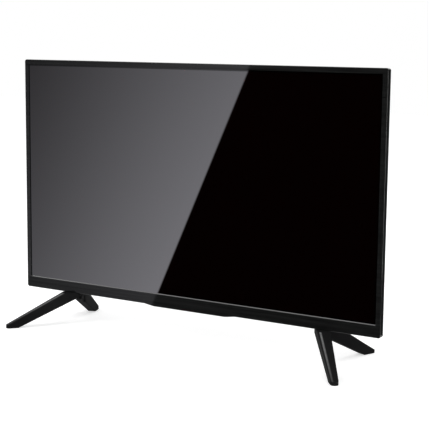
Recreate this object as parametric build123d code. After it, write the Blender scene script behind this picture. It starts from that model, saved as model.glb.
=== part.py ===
from build123d import *
import os
from math import hypot

# A 32 inch class flat screen television on two V shaped feet.
# Each piece is drawn in the panel's frame and then set on its feet:
# x is the distance from the middle, y the depth behind the front face,
# z the height above the lower edge of the panel.

# Overall sizes
display_width = 700.0
display_height = 391.8
side_bezel = 9.0
top_bezel = 9.0
bottom_bezel = 21.2
corner_radius = 4.0
edge_depth = 10.0
set_depth = 80.0
stand_height = 58.0
foot_front_reach = 97.0
foot_rear_reach = 124.0
overrun = 5.0
fit_gap = 0.3
screw_gap = 0.1
sheet_gap = 0.1

set_width = display_width + 2 * side_bezel
set_height = display_height + top_bezel + bottom_bezel
screen_mid = bottom_bezel + display_height / 2
front_y = (foot_front_reach - foot_rear_reach) / 2

# Front bezel
bezel_wall = 2.0
bezel_lip = 1.5
bezel_round = 1.2
ledge_width = 1.2
chin_top_width = 186.0
chin_flat_width = 145.0
chin_drop = 3.0
window_width = 26.0
window_height = 1.6
window_depth = 4.0
window_riser = 2.0
window_rise = 8.0

# Screen stack, from the front glass to the backlight
cell_overlap = 4.0
cell_thickness = 1.5
driver_outer_end = 80.0
driver_height = 7.0
driver_thickness = 1.2
driver_inner_end = 30.0
flex_width = 34.0
flex_thickness = 0.2
flex_count = 3
frame_flange = 1.5
frame_wall = 2.0
frame_depth = 6.5
frame_window_gap = 1.0
film_overlap = 3.0
film_thickness = 0.3
film_count = 3
plate_thickness = 1.5

# Backlight tray, reflector and light strips
tray_overlap = 4.0
tray_sheet = 1.0
tray_slope = 20.0
tray_back = 26.0
tray_corner = 6.0
reflector_sheet_thickness = 0.5
strip_margin = 30.0
strip_width = 14.0
strip_thickness = 1.2
strip_pitch = 120.0
strip_count = 3
lens_radius = 7.5
lens_tip_radius = 4.5
lens_height = 5.5
lens_margin = 32.0
lens_count = 7
lens_hole_gap = 0.5

# Rear cover
cover_wall = 2.0
cover_slope = 24.0
deck_depth = 32.0
deck_corner = 12.0
bulge_side_margin = 59.0
bulge_top_margin = 110.0
bulge_side_slope = 12.0
bulge_top_slope = 36.0
bulge_bottom_slope = 2.0
bulge_corner = 18.0
bulge_round = 6.0
side_bay_reach = 68.0
side_bay_low = 62.0
side_bay_high = 146.0
inlet_bay_low = 60.0
inlet_bay_high = 104.0
bottom_bay_wall = 48.0
bottom_bay_margin = 54.0
bottom_bay_length = 116.0
vent_slot_width = 3.2
vent_slot_height = 20.0
vent_slot_pitch = 9.0
vent_slot_drop = 28.0
vent_slot_margin = 102.0
intake_slot_width = 3.0
intake_slot_length = 26.0
intake_slot_pitch = 7.0
intake_slot_depth = 47.0
intake_slot_count = 24
intake_middle = -48.0
speaker_slot_count = 13

# Cover screws and their bosses
cover_screw_radius = 1.5
cover_screw_head = 3.0
cover_screw_head_height = 1.8
cover_screw_length = 5.5
cover_boss_radius = 4.5
cover_recess_radius = 4.0
cover_recess_depth = 1.0
top_screw_drop = 42.0
top_screw_margin = 109.0
side_screw_margin = 41.0
side_screw_drop = 122.0
side_screw_low = 40.0

# Wall mount posts, M4 on a 200 by 100 pattern
wall_mount_width = 200.0
wall_mount_height = 100.0
wall_mount_drop = 1.0
wall_post_radius = 6.0
wall_bore_radius = 2.0
wall_bore_depth = 16.0
wall_rim_radius = 10.0
wall_rim_depth = 1.0

# Circuit boards
board_thickness = 1.6
board_standoff = 8.0
board_lift = 4.0
board_height = 98.0
board_margin = 5.0
standoff_radius = 3.5
board_bay_gap = 3.0
main_board_length = 177.0
power_board_length = 133.0
timing_board_width = 90.0
timing_board_height = 32.0
timing_board_left = -60.0
timing_standoff = 4.0
board_screw_radius = 1.4
board_screw_head = 2.8
board_screw_head_height = 1.8
board_screw_length = 7.0
chip_height = 1.4
processor_size = 24.0
memory_size = 10.0
plug_height = 7.0
plug_width = 8.0

# Parts on the boards
fin_count = 7
fin_thickness = 1.2
fin_height = 12.0
heatsink_size = 38.0
heatsink_base = 2.5
transformer_width = 36.0
transformer_height = 30.0
transformer_rise = 26.0
bobbin_overhang = 4.0
capacitor_radius = 9.0
capacitor_length = 30.0
capacitor_pitch = 21.0
power_sink_width = 52.0
power_sink_base = 3.0
power_sink_rise = 24.0
power_sink_fin = 9.0

# Sockets
shell_wall = 0.5
hdmi_width = 15.0
hdmi_rise = 5.6
hdmi_length = 12.0
hdmi_chamfer = 1.6
hdmi_tongue_width = 11.2
hdmi_tongue_thickness = 1.2
hdmi_heights = (132.0, 111.0)
usb_width = 13.6
usb_rise = 6.2
usb_length = 14.0
usb_tongue_width = 11.0
usb_tongue_thickness = 1.8
usb_height = 91.0
socket_recess_share = 0.8
jack_width = 8.0
jack_rise = 7.0
jack_length = 14.0
jack_bore = 1.8
jack_nose_radius = 3.0
jack_nose = 1.0
jack_height = 74.0
lan_width = 16.0
lan_rise = 13.5
lan_length = 18.0
lan_mouth_width = 11.8
lan_mouth_rise = 7.6
lan_mouth_depth = 13.0
lan_latch_width = 6.0
lan_latch_rise = 2.4
lan_reach = 92.0
tuner_reach = 72.0
tuner_width = 22.0
tuner_length = 42.0
tuner_rise = 13.0
tuner_barrel_radius = 4.75
tuner_barrel_length = 10.0
tuner_bore = 1.5
av_reaches = (112.0, 126.0, 140.0)
av_block_width = 11.0
av_block_rise = 12.0
av_block_length = 14.0
av_barrel_radius = 4.1
av_barrel_length = 8.0
av_bore = 1.6
optical_reach = 157.0
optical_width = 9.8
optical_rise = 9.8
optical_length = 13.0
optical_mouth = 6.2
optical_mouth_depth = 5.0
inlet_height = 26.0
inlet_rise = 19.0
inlet_length = 26.0
inlet_mid = 82.0
inlet_mouth_width = 17.6
inlet_mouth_rise = 9.4
inlet_mouth_depth = 12.5
inlet_pin_radius = 1.2
inlet_pin_spacing = 8.6
inlet_pin_length = 9.5

# Speakers, one at each end of the bulge
speaker_margin = 24.0
speaker_length = 90.0
speaker_low = 10.0
speaker_height = 30.0
speaker_front = 42.0
speaker_depth = 30.0
speaker_wall = 2.0
speaker_corner = 4.0
driver_mouth_length = 62.0
driver_mouth_width = 22.0
cone_thickness = 1.2
cone_rise = 6.0
cone_cap_length = 18.0
cone_cap_width = 9.0
cone_travel = 1.0
cone_seat = 2.0
magnet_radius = 9.0
magnet_height = 6.0
grommet_radius = 4.0
grommet_place = 12.0

# Keys, in a column on the back of the bulge
key_count = 7
key_pitch = 15.0
key_margin = 34.0
key_drop = 126.0
key_width = 8.0
key_height = 10.0
key_corner = 2.5
key_proud = 1.4
key_flange = 1.2
key_flange_lip = 1.5
key_stem_radius = 1.5
key_stem_length = 1.5
key_travel = 0.8
key_board_width = 16.0
key_board_margin = 6.0
key_boss_radius = 2.5
switch_size = 6.0
switch_height = 1.0
key_round = 0.6

# Infrared receiver behind the chin
receiver_board_width = 40.0
receiver_board_height = 9.0
receiver_width = 8.0
receiver_depth = 3.0

# Feet
foot_inset = 109.0
foot_apex_y = 12.4
front_toe_spread = 75.0
rear_toe_spread = 40.5
front_root_half = 11.7
rear_root_half = 7.6
front_toe_half = 6.5
rear_toe_half = 7.8
leg_round = 1.2
front_root_top = 73.4
front_toe_top = 7.5
front_root_low = 49.6
front_toe_low = -9.1
rear_root_top = 79.3
rear_toe_top = 6.5
rear_root_low = 45.2
rear_toe_low = -12.8
hub_width = 22.0
hub_length = 38.0
hub_corner = 8.0
hub_drop = 6.0
hub_taper = 2.0
tongue_width = 16.0
tongue_depth = 8.0
tongue_height = 11.0
foot_screw_spacing = 17.0
foot_screw_offset = 12.0
foot_screw_radius = 2.0
foot_screw_hole = 2.3
foot_screw_head = 3.8
foot_screw_head_height = 2.4
foot_screw_recess = 3.5
foot_screw_length = 14.0
pad_length = 15.0
pad_width = 8.0
pad_thickness = 1.5
pad_proud = 0.5
bracket_width = 30.0
bracket_length = 27.0
bracket_height = 10.0
bracket_sheet = 2.5
bracket_upright = 60.0
ridge_share = 0.66
inner_drop_share = 0.2
outer_drop_share = 0.14

# Leads
lead_radius = 0.8
lead_bend = 8.0
lead_tight_bend = 5.0
lead_wide_bend = 18.0
lead_pitch = 4.0
speaker_lead_depth = 57.0
speaker_lead_turn = 30.0
speaker_lead_height = 24.0
receiver_lead_depth = 50.0
receiver_lead_x = 14.0
receiver_lead_turn = 45.0
receiver_lead_height = 7.0
receiver_lead_climb = 32.0
key_lead_depth = 62.0
key_lead_height = 200.0
lamp_lead_depth = 56.0
lamp_hole_offset = 18.0
lamp_hole_radius = 2.5
supply_lead_depth = 54.0
supply_height = 113.0
ribbon_width = 22.0
ribbon_thickness = 0.5
ribbon_rise = 12.0
ribbon_bend = 2.5

# Worked-out places across the set
bulge_width = set_width - 2 * bulge_side_margin
bulge_height = set_height - bulge_top_margin
side_bay_wall = bulge_width / 2 - side_bay_reach
bottom_bay_outer = side_bay_wall - bottom_bay_margin
bottom_bay_inner = bottom_bay_outer - bottom_bay_length
main_board_outer = side_bay_wall - board_bay_gap
main_board_inner = main_board_outer - main_board_length
power_board_outer = board_bay_gap - side_bay_wall
power_board_inner = power_board_outer + power_board_length
board_low = bottom_bay_wall + board_lift
board_high = board_low + board_height
lan_x = side_bay_wall - lan_reach
tuner_x = side_bay_wall - tuner_reach
av_places = [side_bay_wall - reach for reach in av_reaches]
optical_x = side_bay_wall - optical_reach
speaker_outer = bulge_width / 2 - speaker_margin
speaker_inner = speaker_outer - speaker_length
key_column = bulge_width / 2 - key_margin
key_middle = bulge_height - key_drop
wall_mount_mid = set_height / 2 - wall_mount_drop
vent_slot_low = bulge_height - vent_slot_drop
vent_slot_count = 1 + round((bulge_width - 2 * vent_slot_margin) / vent_slot_pitch)
top_screw_reach = set_width / 2 - top_screw_margin
top_screw_height = set_height - top_screw_drop
side_screw_reach = set_width / 2 - side_screw_margin
side_screw_high = set_height - side_screw_drop
strip_length = display_width - 2 * strip_margin
lens_pitch = (strip_length - 2 * lens_margin) / (lens_count - 1)
driver_length = display_width / 2 - driver_inner_end - driver_outer_end
lamp_hole_x = power_board_inner + lamp_hole_offset
foot_apex_x = set_width / 2 - foot_inset
front_toe_x = foot_apex_x + front_toe_spread
rear_toe_x = foot_apex_x + rear_toe_spread

# Worked-out depths and heights
cell_front = bezel_lip
flange_front = cell_front + cell_thickness
films_front = flange_front + frame_flange
plate_front = films_front + film_count * film_thickness
tray_front = plate_front + plate_thickness
tray_floor = tray_back - tray_sheet
strip_front = tray_floor - strip_thickness
board_front = tray_back + board_standoff
board_rear = board_front + board_thickness
timing_front = tray_back + timing_standoff
timing_rear = timing_front + board_thickness
deck_inside = deck_depth - cover_wall
back_inside = set_depth - cover_wall
bay_floor = deck_depth
foot_floor = -stand_height


def face_plane(depth, x=0, z=0):
    """Plane parallel to the screen, with local x across and local y up."""
    return Plane(origin=(x, depth, z), x_dir=(1, 0, 0), z_dir=(0, -1, 0))


def plate(outline, depth, thickness, x=0, z=0):
    """Flat outline made solid from its depth backwards."""
    return extrude(face_plane(depth, x, z) * outline, amount=thickness, dir=(0, 1, 0))


def block(x_low, x_high, y_low, y_high, z_low, z_high):
    """Box between two corners."""
    low = (x_low, y_low, z_low)
    size = (x_high - x_low, y_high - y_low, z_high - z_low)
    return Pos(*low) * Box(*size, align=(Align.MIN, Align.MIN, Align.MIN))


def rod(point, direction, radius, length):
    """Cylinder that starts at a point and runs along a direction."""
    return extrude(Plane(origin=point, z_dir=direction) * Circle(radius), amount=length)


def frustum(depth_a, size_a, depth_b, size_b, corner_a, corner_b):
    """Tapered block between two rounded rectangles given as x and z limits."""
    outlines = []
    for depth, limits, corner in ((depth_a, size_a, corner_a), (depth_b, size_b, corner_b)):
        x_low, x_high, z_low, z_high = limits
        outline = RectangleRounded(x_high - x_low, z_high - z_low, corner)
        middle = face_plane(depth, (x_low + x_high) / 2, (z_low + z_high) / 2)
        outlines.append(middle * outline)
    return loft(outlines, ruled=True)


def lead(points, radius, bends):
    """Round wire along straight runs joined by arcs."""
    path = FilletPolyline(*points, radius=bends)
    start = Plane(origin=path @ 0, z_dir=path % 0)
    return sweep(start * Circle(radius), path=path)


def centred(count, pitch):
    """Places of a row of equal steps about zero."""
    return [(index - (count - 1) / 2) * pitch for index in range(count)]


def front_bezel():
    """Frame round the screen with its skirt, ledge and the chin below it."""
    outline = RectangleRounded(set_width, set_height, corner_radius)
    body = plate(outline, 0, edge_depth, z=set_height / 2)
    chin = Polygon(
        (-chin_top_width / 2, corner_radius),
        (-chin_top_width / 2, 0),
        (-chin_flat_width / 2, -chin_drop),
        (chin_flat_width / 2, -chin_drop),
        (chin_top_width / 2, 0),
        (chin_top_width / 2, corner_radius),
        align=None,
    )
    body += plate(chin, 0, edge_depth)
    body = fillet(body.faces().sort_by(Axis.Y)[0].edges(), bezel_round)
    hollow = Rectangle(set_width - 2 * bezel_wall, set_height - 2 * bezel_wall)
    body -= plate(hollow, bezel_lip, edge_depth, z=set_height / 2)
    body -= plate(Rectangle(display_width, display_height), -overrun, 2 * overrun, z=screen_mid)
    ledge_low = bottom_bezel - ledge_width
    ledge = Plane.YZ * Polygon(
        (0, ledge_low), (-overrun, ledge_low - overrun), (-overrun, bottom_bezel + overrun),
        (ledge_width, bottom_bezel + overrun), (ledge_width, bottom_bezel), align=None)
    body -= extrude(ledge, amount=display_width / 2, both=True)
    return body - window_pocket()


def window_form(front, gap):
    """Bent bar from the front of the chin up behind the bezel's lip."""
    half = window_width / 2 + gap
    low = bezel_round - chin_drop - gap
    bar = block(-half, half, front, window_depth + gap, low, low + window_height + 2 * gap)
    riser_front = window_depth - window_riser - gap
    return bar + block(-half, half, riser_front, window_depth + gap, low, window_rise)


def window_pocket():
    """Hole through the chin for the infrared window."""
    return window_form(-overrun, screw_gap)


def infrared_window():
    """Dark lens in the chin, bent up to reach the receiver."""
    return window_form(0, 0)


def lcd_glass():
    """Glass of the display cell, held behind the bezel's lip."""
    outline = Rectangle(display_width + 2 * cell_overlap, display_height + 2 * cell_overlap)
    return plate(outline, cell_front, cell_thickness, z=screen_mid)


def driver_places():
    """Left ends of the two driver boards below the cell."""
    return (-driver_inner_end - driver_length, driver_inner_end)


def cell_low_edge():
    """Height of the lower edge of the display cell."""
    return bottom_bezel - cell_overlap


def driver_boards():
    """Two narrow boards that feed the display cell."""
    top = bezel_wall + fit_gap + driver_height
    boards = []
    for left in driver_places():
        boards.append(block(left, left + driver_length, cell_front, cell_front + driver_thickness,
                            bezel_wall + fit_gap, top))
    return boards


def panel_flex():
    """Thin flexible films from the driver boards to the cell."""
    low = bezel_wall + fit_gap + driver_height
    films = []
    for left in driver_places():
        for offset in centred(flex_count, driver_length / flex_count):
            middle = left + driver_length / 2 + offset
            films.append(block(middle - flex_width / 2, middle + flex_width / 2, cell_front,
                               cell_front + flex_thickness, low, cell_low_edge()))
    return films


def mid_frame():
    """Plastic frame between the display cell and the backlight."""
    width = set_width - 2 * bezel_wall - 2 * fit_gap
    height = set_height - 2 * bezel_wall - 2 * fit_gap
    body = plate(Rectangle(width, height), flange_front, frame_depth, z=set_height / 2)
    pocket = Rectangle(width - 2 * frame_wall, height - 2 * frame_wall)
    body -= plate(pocket, films_front, frame_depth, z=set_height / 2)
    window = Rectangle(display_width + 2 * frame_window_gap, display_height + 2 * frame_window_gap)
    body -= plate(window, 0, edge_depth, z=screen_mid)
    half = receiver_board_width / 2 + fit_gap
    top = bezel_wall + receiver_board_height + 2 * fit_gap
    return body - block(-half, half, 0, edge_depth, 0, top)


def optical_films():
    """Stack of thin diffusing films."""
    outline = Rectangle(display_width + 2 * film_overlap, display_height + 2 * film_overlap)
    depths = [films_front + index * film_thickness for index in range(film_count)]
    return [plate(outline, depth, film_thickness, z=screen_mid) for depth in depths]


def diffuser_plate():
    """Stiff white plate in front of the light strips."""
    outline = Rectangle(display_width + 2 * film_overlap, display_height + 2 * film_overlap)
    return plate(outline, plate_front, plate_thickness, z=screen_mid)


def tray_limits(inset):
    """x and z limits of the tray's rim, drawn in by an inset."""
    half_width = display_width / 2 + tray_overlap - inset
    half_height = display_height / 2 + tray_overlap - inset
    return (-half_width, half_width, screen_mid - half_height, screen_mid + half_height)


def tray_form(front, back, inset):
    """Solid with the tray's sloping sides."""
    rim = tray_limits(inset)
    floor = tray_limits(inset + tray_slope)
    return frustum(front, rim, back, floor, tray_corner, tray_corner)


def backlight_tray():
    """Pressed steel tray with posts for the boards."""
    tray = tray_form(tray_front, tray_back, 0)
    tray -= tray_form(tray_front, tray_floor, tray_sheet)
    posts = [rod((x, tray_back, z), (0, 1, 0), standoff_radius, board_standoff)
             for x, z in board_posts()]
    posts += [rod((x, tray_back, z), (0, 1, 0), standoff_radius, timing_standoff)
              for x, z in timing_posts()]
    tray += posts
    bores = [rod((x, tray_back + screw_gap, z), (0, 1, 0), board_screw_radius + screw_gap,
                 board_standoff + overrun) for x, z in board_posts() + timing_posts()]
    bores += [rod((x, tray_back - overrun, z), (0, 1, 0), cover_screw_radius + screw_gap, 2 * overrun)
              for x, z in cover_screw_places()]
    bores.append(rod((lamp_hole_x, tray_back - overrun, screen_mid), (0, 1, 0), lamp_hole_radius,
                     2 * overrun))
    return tray - bores


def reflector():
    """White sheet that lines the tray, holed for the lenses."""
    back = strip_front - sheet_gap
    skin = tray_form(tray_front, back, tray_sheet + sheet_gap)
    skin -= tray_form(tray_front, back - reflector_sheet_thickness,
                      tray_sheet + sheet_gap + reflector_sheet_thickness)
    holes = [rod((x, back - overrun, z), (0, 1, 0), lens_radius + lens_hole_gap, 2 * overrun)
             for x, z in lens_places()]
    return skin - holes


def strip_heights():
    """Heights of the light strips."""
    return [screen_mid + offset for offset in centred(strip_count, strip_pitch)]


def lens_places():
    """x and z of each lens."""
    return [(x, z) for z in strip_heights() for x in centred(lens_count, lens_pitch)]


def light_strips():
    """Narrow boards that carry the lamps."""
    half = strip_length / 2
    return [block(-half, half, strip_front, tray_floor, z - strip_width / 2, z + strip_width / 2)
            for z in strip_heights()]


def strip_lenses():
    """Lens over each lamp, wide at its foot."""
    lens = Cone(lens_radius, lens_tip_radius, lens_height, align=(Align.CENTER, Align.CENTER, Align.MIN))
    return [Plane(origin=(x, strip_front, z), z_dir=(0, -1, 0)) * lens for x, z in lens_places()]


def cover_form(inset):
    """Outer form of the rear cover, or its cavity when drawn in by the wall."""
    half = set_width / 2 - inset
    deck = deck_depth - inset
    slope = half - cover_slope
    rim = (-half, half, inset, set_height - inset)
    top = (-slope, slope, inset, set_height - inset - cover_slope)
    border = frustum(edge_depth, rim, deck, top, corner_radius, deck_corner)
    half = bulge_width / 2 - inset
    root = (-half, half, inset, bulge_height - inset)
    half -= bulge_side_slope
    back = (-half, half, inset + bulge_bottom_slope, bulge_height - inset - bulge_top_slope)
    bulge = frustum(deck - bulge_round, root, set_depth - inset, back, bulge_corner, bulge_corner)
    bulge = fillet(bulge.faces().sort_by(Axis.Y)[-1].edges(), bulge_round)
    bays = connector_bays(inset)
    return border + (bulge - bays)


def connector_bays(inset):
    """Open corners of the bulge where the sockets face out."""
    reach = bulge_width
    floor = bay_floor - inset
    deep = set_depth + overrun
    side = block(side_bay_wall - inset, reach, floor, deep, side_bay_low - inset, side_bay_high + inset)
    inlet = block(-reach, inset - side_bay_wall, floor, deep, inlet_bay_low - inset,
                  inlet_bay_high + inset)
    below = block(bottom_bay_inner - inset, bottom_bay_outer + inset, floor, deep, -overrun,
                  bottom_bay_wall + inset)
    return [side, inlet, below]


def cover_screw_places():
    """x and z of the screws that hold the rear cover."""
    places = [(x, top_screw_height) for x in (-top_screw_reach, 0, top_screw_reach)]
    places += [(side * side_screw_reach, z) for side in (-1, 1) for z in (side_screw_low, side_screw_high)]
    return places


def wall_post_places():
    """x and z of the wall mount posts."""
    half_width = wall_mount_width / 2
    half_height = wall_mount_height / 2
    return [(x, wall_mount_mid + z) for x in (-half_width, half_width) for z in (-half_height, half_height)]


def vent_slots():
    """Slots in the sloping top of the bulge."""
    half = vent_slot_width / 2
    return [block(x - half, x + half, deck_depth + cover_wall, set_depth + overrun, vent_slot_low,
                  vent_slot_low + vent_slot_height) for x in centred(vent_slot_count, vent_slot_pitch)]


def underside_slots():
    """Air slots and speaker slots in the underside of the bulge."""
    speaker_middle = (speaker_inner + speaker_outer) / 2
    rows = [intake_middle + x for x in centred(intake_slot_count, intake_slot_pitch)]
    for side in (-1, 1):
        rows += [side * speaker_middle + x for x in centred(speaker_slot_count, intake_slot_pitch)]
    half = intake_slot_width / 2
    return [block(x - half, x + half, intake_slot_depth, intake_slot_depth + intake_slot_length,
                  -overrun, bulge_bottom_slope + cover_wall) for x in rows]


def key_heights():
    """Heights of the keys, from the lowest up."""
    return [key_middle + offset for offset in centred(key_count, key_pitch)]


def key_boss_heights():
    """Heights of the two bosses that carry the key board."""
    reach = key_count * key_pitch / 2 + key_boss_radius
    return (key_middle - reach, key_middle + reach)


def rear_cover():
    """Moulded rear shell with its bulge, vents, bays and bosses."""
    cover = cover_form(0) - cover_form(cover_wall)
    bosses = [rod((x, tray_back, z), (0, 1, 0), cover_boss_radius, deck_inside - tray_back)
              for x, z in cover_screw_places()]
    bosses += [rod((-key_column, back_inside, z), (0, -1, 0), key_boss_radius,
                   back_inside - switch_rear() + switch_height) for z in key_boss_heights()]
    cover += bosses
    tools = vent_slots() + underside_slots() + socket_cutouts() + foot_cutouts()
    tools += [rod((x, tray_back - overrun, z), (0, 1, 0), cover_screw_radius + screw_gap, set_depth)
              for x, z in cover_screw_places()]
    tools += [rod((x, deck_depth - cover_recess_depth, z), (0, 1, 0), cover_recess_radius, set_depth)
              for x, z in cover_screw_places()]
    tools += [rod((x, deck_depth, z), (0, 1, 0), wall_post_radius + fit_gap, set_depth)
              for x, z in wall_post_places()]
    tools += [rod((x, set_depth - wall_rim_depth, z), (0, 1, 0), wall_rim_radius, set_depth)
              for x, z in wall_post_places()]
    tools += [plate(RectangleRounded(key_width + 2 * fit_gap, key_height + 2 * fit_gap, key_corner),
                    back_inside - overrun, 2 * overrun, x=-key_column, z=z) for z in key_heights()]
    return cover - tools


def cover_screws():
    """Screws with pan heads, sunk in the recesses of the rear cover."""
    seat = deck_depth - cover_recess_depth
    screws = []
    for x, z in cover_screw_places():
        head = rod((x, seat, z), (0, 1, 0), cover_screw_head, cover_screw_head_height)
        screws.append(head + rod((x, seat, z), (0, -1, 0), cover_screw_radius, cover_screw_length))
    return screws


def wall_posts():
    """Threaded posts from the tray to the back of the set."""
    seat = set_depth - wall_rim_depth
    posts = []
    for x, z in wall_post_places():
        post = rod((x, tray_back, z), (0, 1, 0), wall_post_radius, seat - tray_back)
        posts.append(post - rod((x, seat + overrun, z), (0, -1, 0), wall_bore_radius,
                                wall_bore_depth + overrun))
    return posts


def board_posts():
    """x and z of the posts under the main and power boards."""
    places = []
    for inner, outer in ((main_board_inner, main_board_outer), (power_board_inner, power_board_outer)):
        step = board_margin if outer > inner else -board_margin
        for x in (inner + step, outer - step):
            places += [(x, board_low + board_margin), (x, board_high - board_margin)]
    return places


def timing_posts():
    """x and z of the posts under the timing board."""
    middle = board_low + timing_board_height / 2
    right = timing_board_left + timing_board_width
    return [(timing_board_left + board_margin, middle), (right - board_margin, middle)]


def board_bores(places, depth):
    """Clearance holes for the board screws."""
    return [rod((x, depth - overrun, z), (0, 1, 0), board_screw_radius + screw_gap, 2 * overrun)
            for x, z in places]


def chip(x, z, size, height=chip_height, rear=None):
    """Square component on the rear face of a board."""
    face = board_rear if rear is None else rear
    return plate(Rectangle(size, size), face, height, x=x, z=z)


def main_board():
    """Main circuit board with its processor, memory and plugs."""
    board = block(main_board_inner, main_board_outer, board_front, board_rear, board_low, board_high)
    middle_x, middle_z = heatsink_place()
    board += chip(middle_x, middle_z, processor_size)
    board += chip(middle_x - heatsink_size, middle_z, memory_size)
    board += chip(middle_x - heatsink_size, middle_z - 2 * memory_size, memory_size)
    for x, z in (speaker_plug_place(-1), speaker_plug_place(1), sensor_plug_place(), supply_plug_place(1)):
        board += plate(Rectangle(plug_width, plug_width), board_rear, plug_height, x=x, z=z)
    ribbon_x = main_board_inner + board_margin + plug_width
    board += plate(Rectangle(plug_width / 2, ribbon_width), board_rear, plug_height / 2,
                   x=ribbon_x, z=ribbon_height())
    return board - board_bores(board_posts(), board_front)


def heatsink_place():
    """x and z of the processor's heatsink."""
    x = (main_board_inner + main_board_outer) / 2 + heatsink_size / 4
    return x, board_high - heatsink_size / 2 - board_margin


def finned_sink(x, z, size, base, rise, front):
    """Extruded heatsink whose fins run up and down."""
    half = size / 2
    sink = block(x - half, x + half, front, front + base, z - half, z + half)
    for offset in centred(fin_count, (size - fin_thickness) / (fin_count - 1)):
        left = x + offset - fin_thickness / 2
        sink += block(left, left + fin_thickness, front, front + rise, z - half, z + half)
    return sink


def main_heatsink():
    """Finned heatsink on the processor."""
    x, z = heatsink_place()
    return finned_sink(x, z, heatsink_size, heatsink_base, fin_height, board_rear + chip_height)


def power_board():
    """Mains power board with its small parts."""
    board = block(power_board_outer, power_board_inner, board_front, board_rear, board_low, board_high)
    for x, z in (lamp_plug_place(), supply_plug_place(-1)):
        board += plate(Rectangle(plug_width, plug_width), board_rear, plug_height, x=x, z=z)
    return board - board_bores(board_posts(), board_front)


def transformer_place():
    """x and z of the power transformer."""
    middle = (power_board_inner + power_board_outer) / 2
    return middle + transformer_width / 2, (board_low + board_high) / 2


def transformer():
    """Ferrite core round a wound bobbin."""
    x, z = transformer_place()
    core = plate(Rectangle(transformer_width, transformer_height), board_rear, transformer_rise, x=x, z=z)
    core = chamfer(core.faces().sort_by(Axis.Y)[-1].edges(), fin_thickness)
    bobbin = Rectangle(transformer_width / 2, transformer_height + 2 * bobbin_overhang)
    return core + plate(bobbin, board_rear, transformer_rise - bobbin_overhang, x=x, z=z)


def mains_capacitors():
    """Two tall reservoir capacitors."""
    x, z = transformer_place()
    left = x - transformer_width / 2 - board_margin - capacitor_radius
    cans = []
    for offset in (0, capacitor_pitch):
        can = rod((left, board_rear, z - offset), (0, 1, 0), capacitor_radius, capacitor_length)
        cans.append(chamfer(can.faces().sort_by(Axis.Y)[-1].edges(), fin_thickness))
    return cans


def power_heatsink():
    """Upright finned plate beside the transformer."""
    x, z = transformer_place()
    low = z + transformer_height / 2 + bobbin_overhang + fin_thickness
    left = x - power_sink_width / 2
    right = x + power_sink_width / 2
    sink = block(left, right, board_rear, board_rear + power_sink_rise, low, low + power_sink_base)
    for offset in centred(fin_count, (power_sink_width - fin_thickness) / (fin_count - 1)):
        middle = x + offset
        sink += block(middle - fin_thickness / 2, middle + fin_thickness / 2, board_rear,
                      board_rear + power_sink_rise, low, low + power_sink_fin)
    return sink


def timing_board():
    """Small board between the main board and the display cell."""
    right = timing_board_left + timing_board_width
    top = board_low + timing_board_height
    board = block(timing_board_left, right, timing_front, timing_rear, board_low, top)
    middle = (timing_board_left + right) / 2
    board += chip(middle, (board_low + top) / 2, memory_size, rear=timing_rear)
    board += plate(Rectangle(plug_width / 2, ribbon_width), timing_rear, plug_height / 2,
                   x=right - board_margin - plug_width, z=ribbon_height())
    return board - board_bores(timing_posts(), timing_front)


def board_screws():
    """Screws that hold the boards to the posts."""
    screws = []
    for places, seat in ((board_posts(), board_rear), (timing_posts(), timing_rear)):
        shank = board_screw_length if seat == board_rear else timing_standoff + board_thickness
        for x, z in places:
            head = rod((x, seat, z), (0, 1, 0), board_screw_head, board_screw_head_height)
            screws.append(head + rod((x, seat, z), (0, -1, 0), board_screw_radius, shank - screw_gap))
    return screws


def hdmi_profile(inset):
    """Mouth of an HDMI socket: a rectangle with two cut corners."""
    half = hdmi_width / 2 - inset
    low = inset
    high = hdmi_rise - inset
    return Polygon((-half, low + hdmi_chamfer), (hdmi_chamfer - half, low), (half - hdmi_chamfer, low),
                   (half, low + hdmi_chamfer), (half, high), (-half, high), align=None)


def side_plane(x, z):
    """Plane on the board that faces out of the side bay."""
    return Plane(origin=(x, board_rear, z), x_dir=(0, 0, -1), z_dir=(1, 0, 0))


def side_socket(outer, inner, tongue_width, tongue_thickness, rise, length, z):
    """Metal shell with a contact tongue, facing out of the side bay."""
    back = side_bay_wall - length
    shell = extrude(side_plane(back, z) * outer, amount=length)
    mouth = side_plane(side_bay_wall - length * socket_recess_share, z) * inner
    shell -= extrude(mouth, amount=length)
    tongue_low = (rise - tongue_thickness) / 2
    half = tongue_width / 2
    tongue = block(back, side_bay_wall - 2 * shell_wall, board_rear + tongue_low,
                   board_rear + tongue_low + tongue_thickness, z - half, z + half)
    return shell + tongue


def hdmi_sockets():
    """Two HDMI sockets."""
    return [side_socket(hdmi_profile(0), hdmi_profile(shell_wall), hdmi_tongue_width,
                        hdmi_tongue_thickness, hdmi_rise, hdmi_length, z) for z in hdmi_heights]


def usb_profile(inset):
    """Mouth of a USB socket."""
    return Pos(0, usb_rise / 2) * Rectangle(usb_width - 2 * inset, usb_rise - 2 * inset)


def usb_socket():
    """USB socket."""
    return side_socket(usb_profile(0), usb_profile(shell_wall), usb_tongue_width, usb_tongue_thickness,
                       usb_rise, usb_length, usb_height)


def headphone_jack():
    """Jack for a 3.5 mm plug, with a round nose."""
    back = side_bay_wall - jack_length
    middle = board_rear + jack_rise / 2
    half = jack_width / 2
    body = block(back, side_bay_wall - cover_wall - fit_gap, board_rear, board_rear + jack_rise,
                 jack_height - half, jack_height + half)
    nose_start = (back + jack_length / 2, middle, jack_height)
    body += rod(nose_start, (1, 0, 0), jack_nose_radius, jack_length / 2 + jack_nose)
    mouth = (side_bay_wall + overrun, middle, jack_height)
    return body - rod(mouth, (-1, 0, 0), jack_bore, jack_length + overrun - cover_wall)


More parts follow.
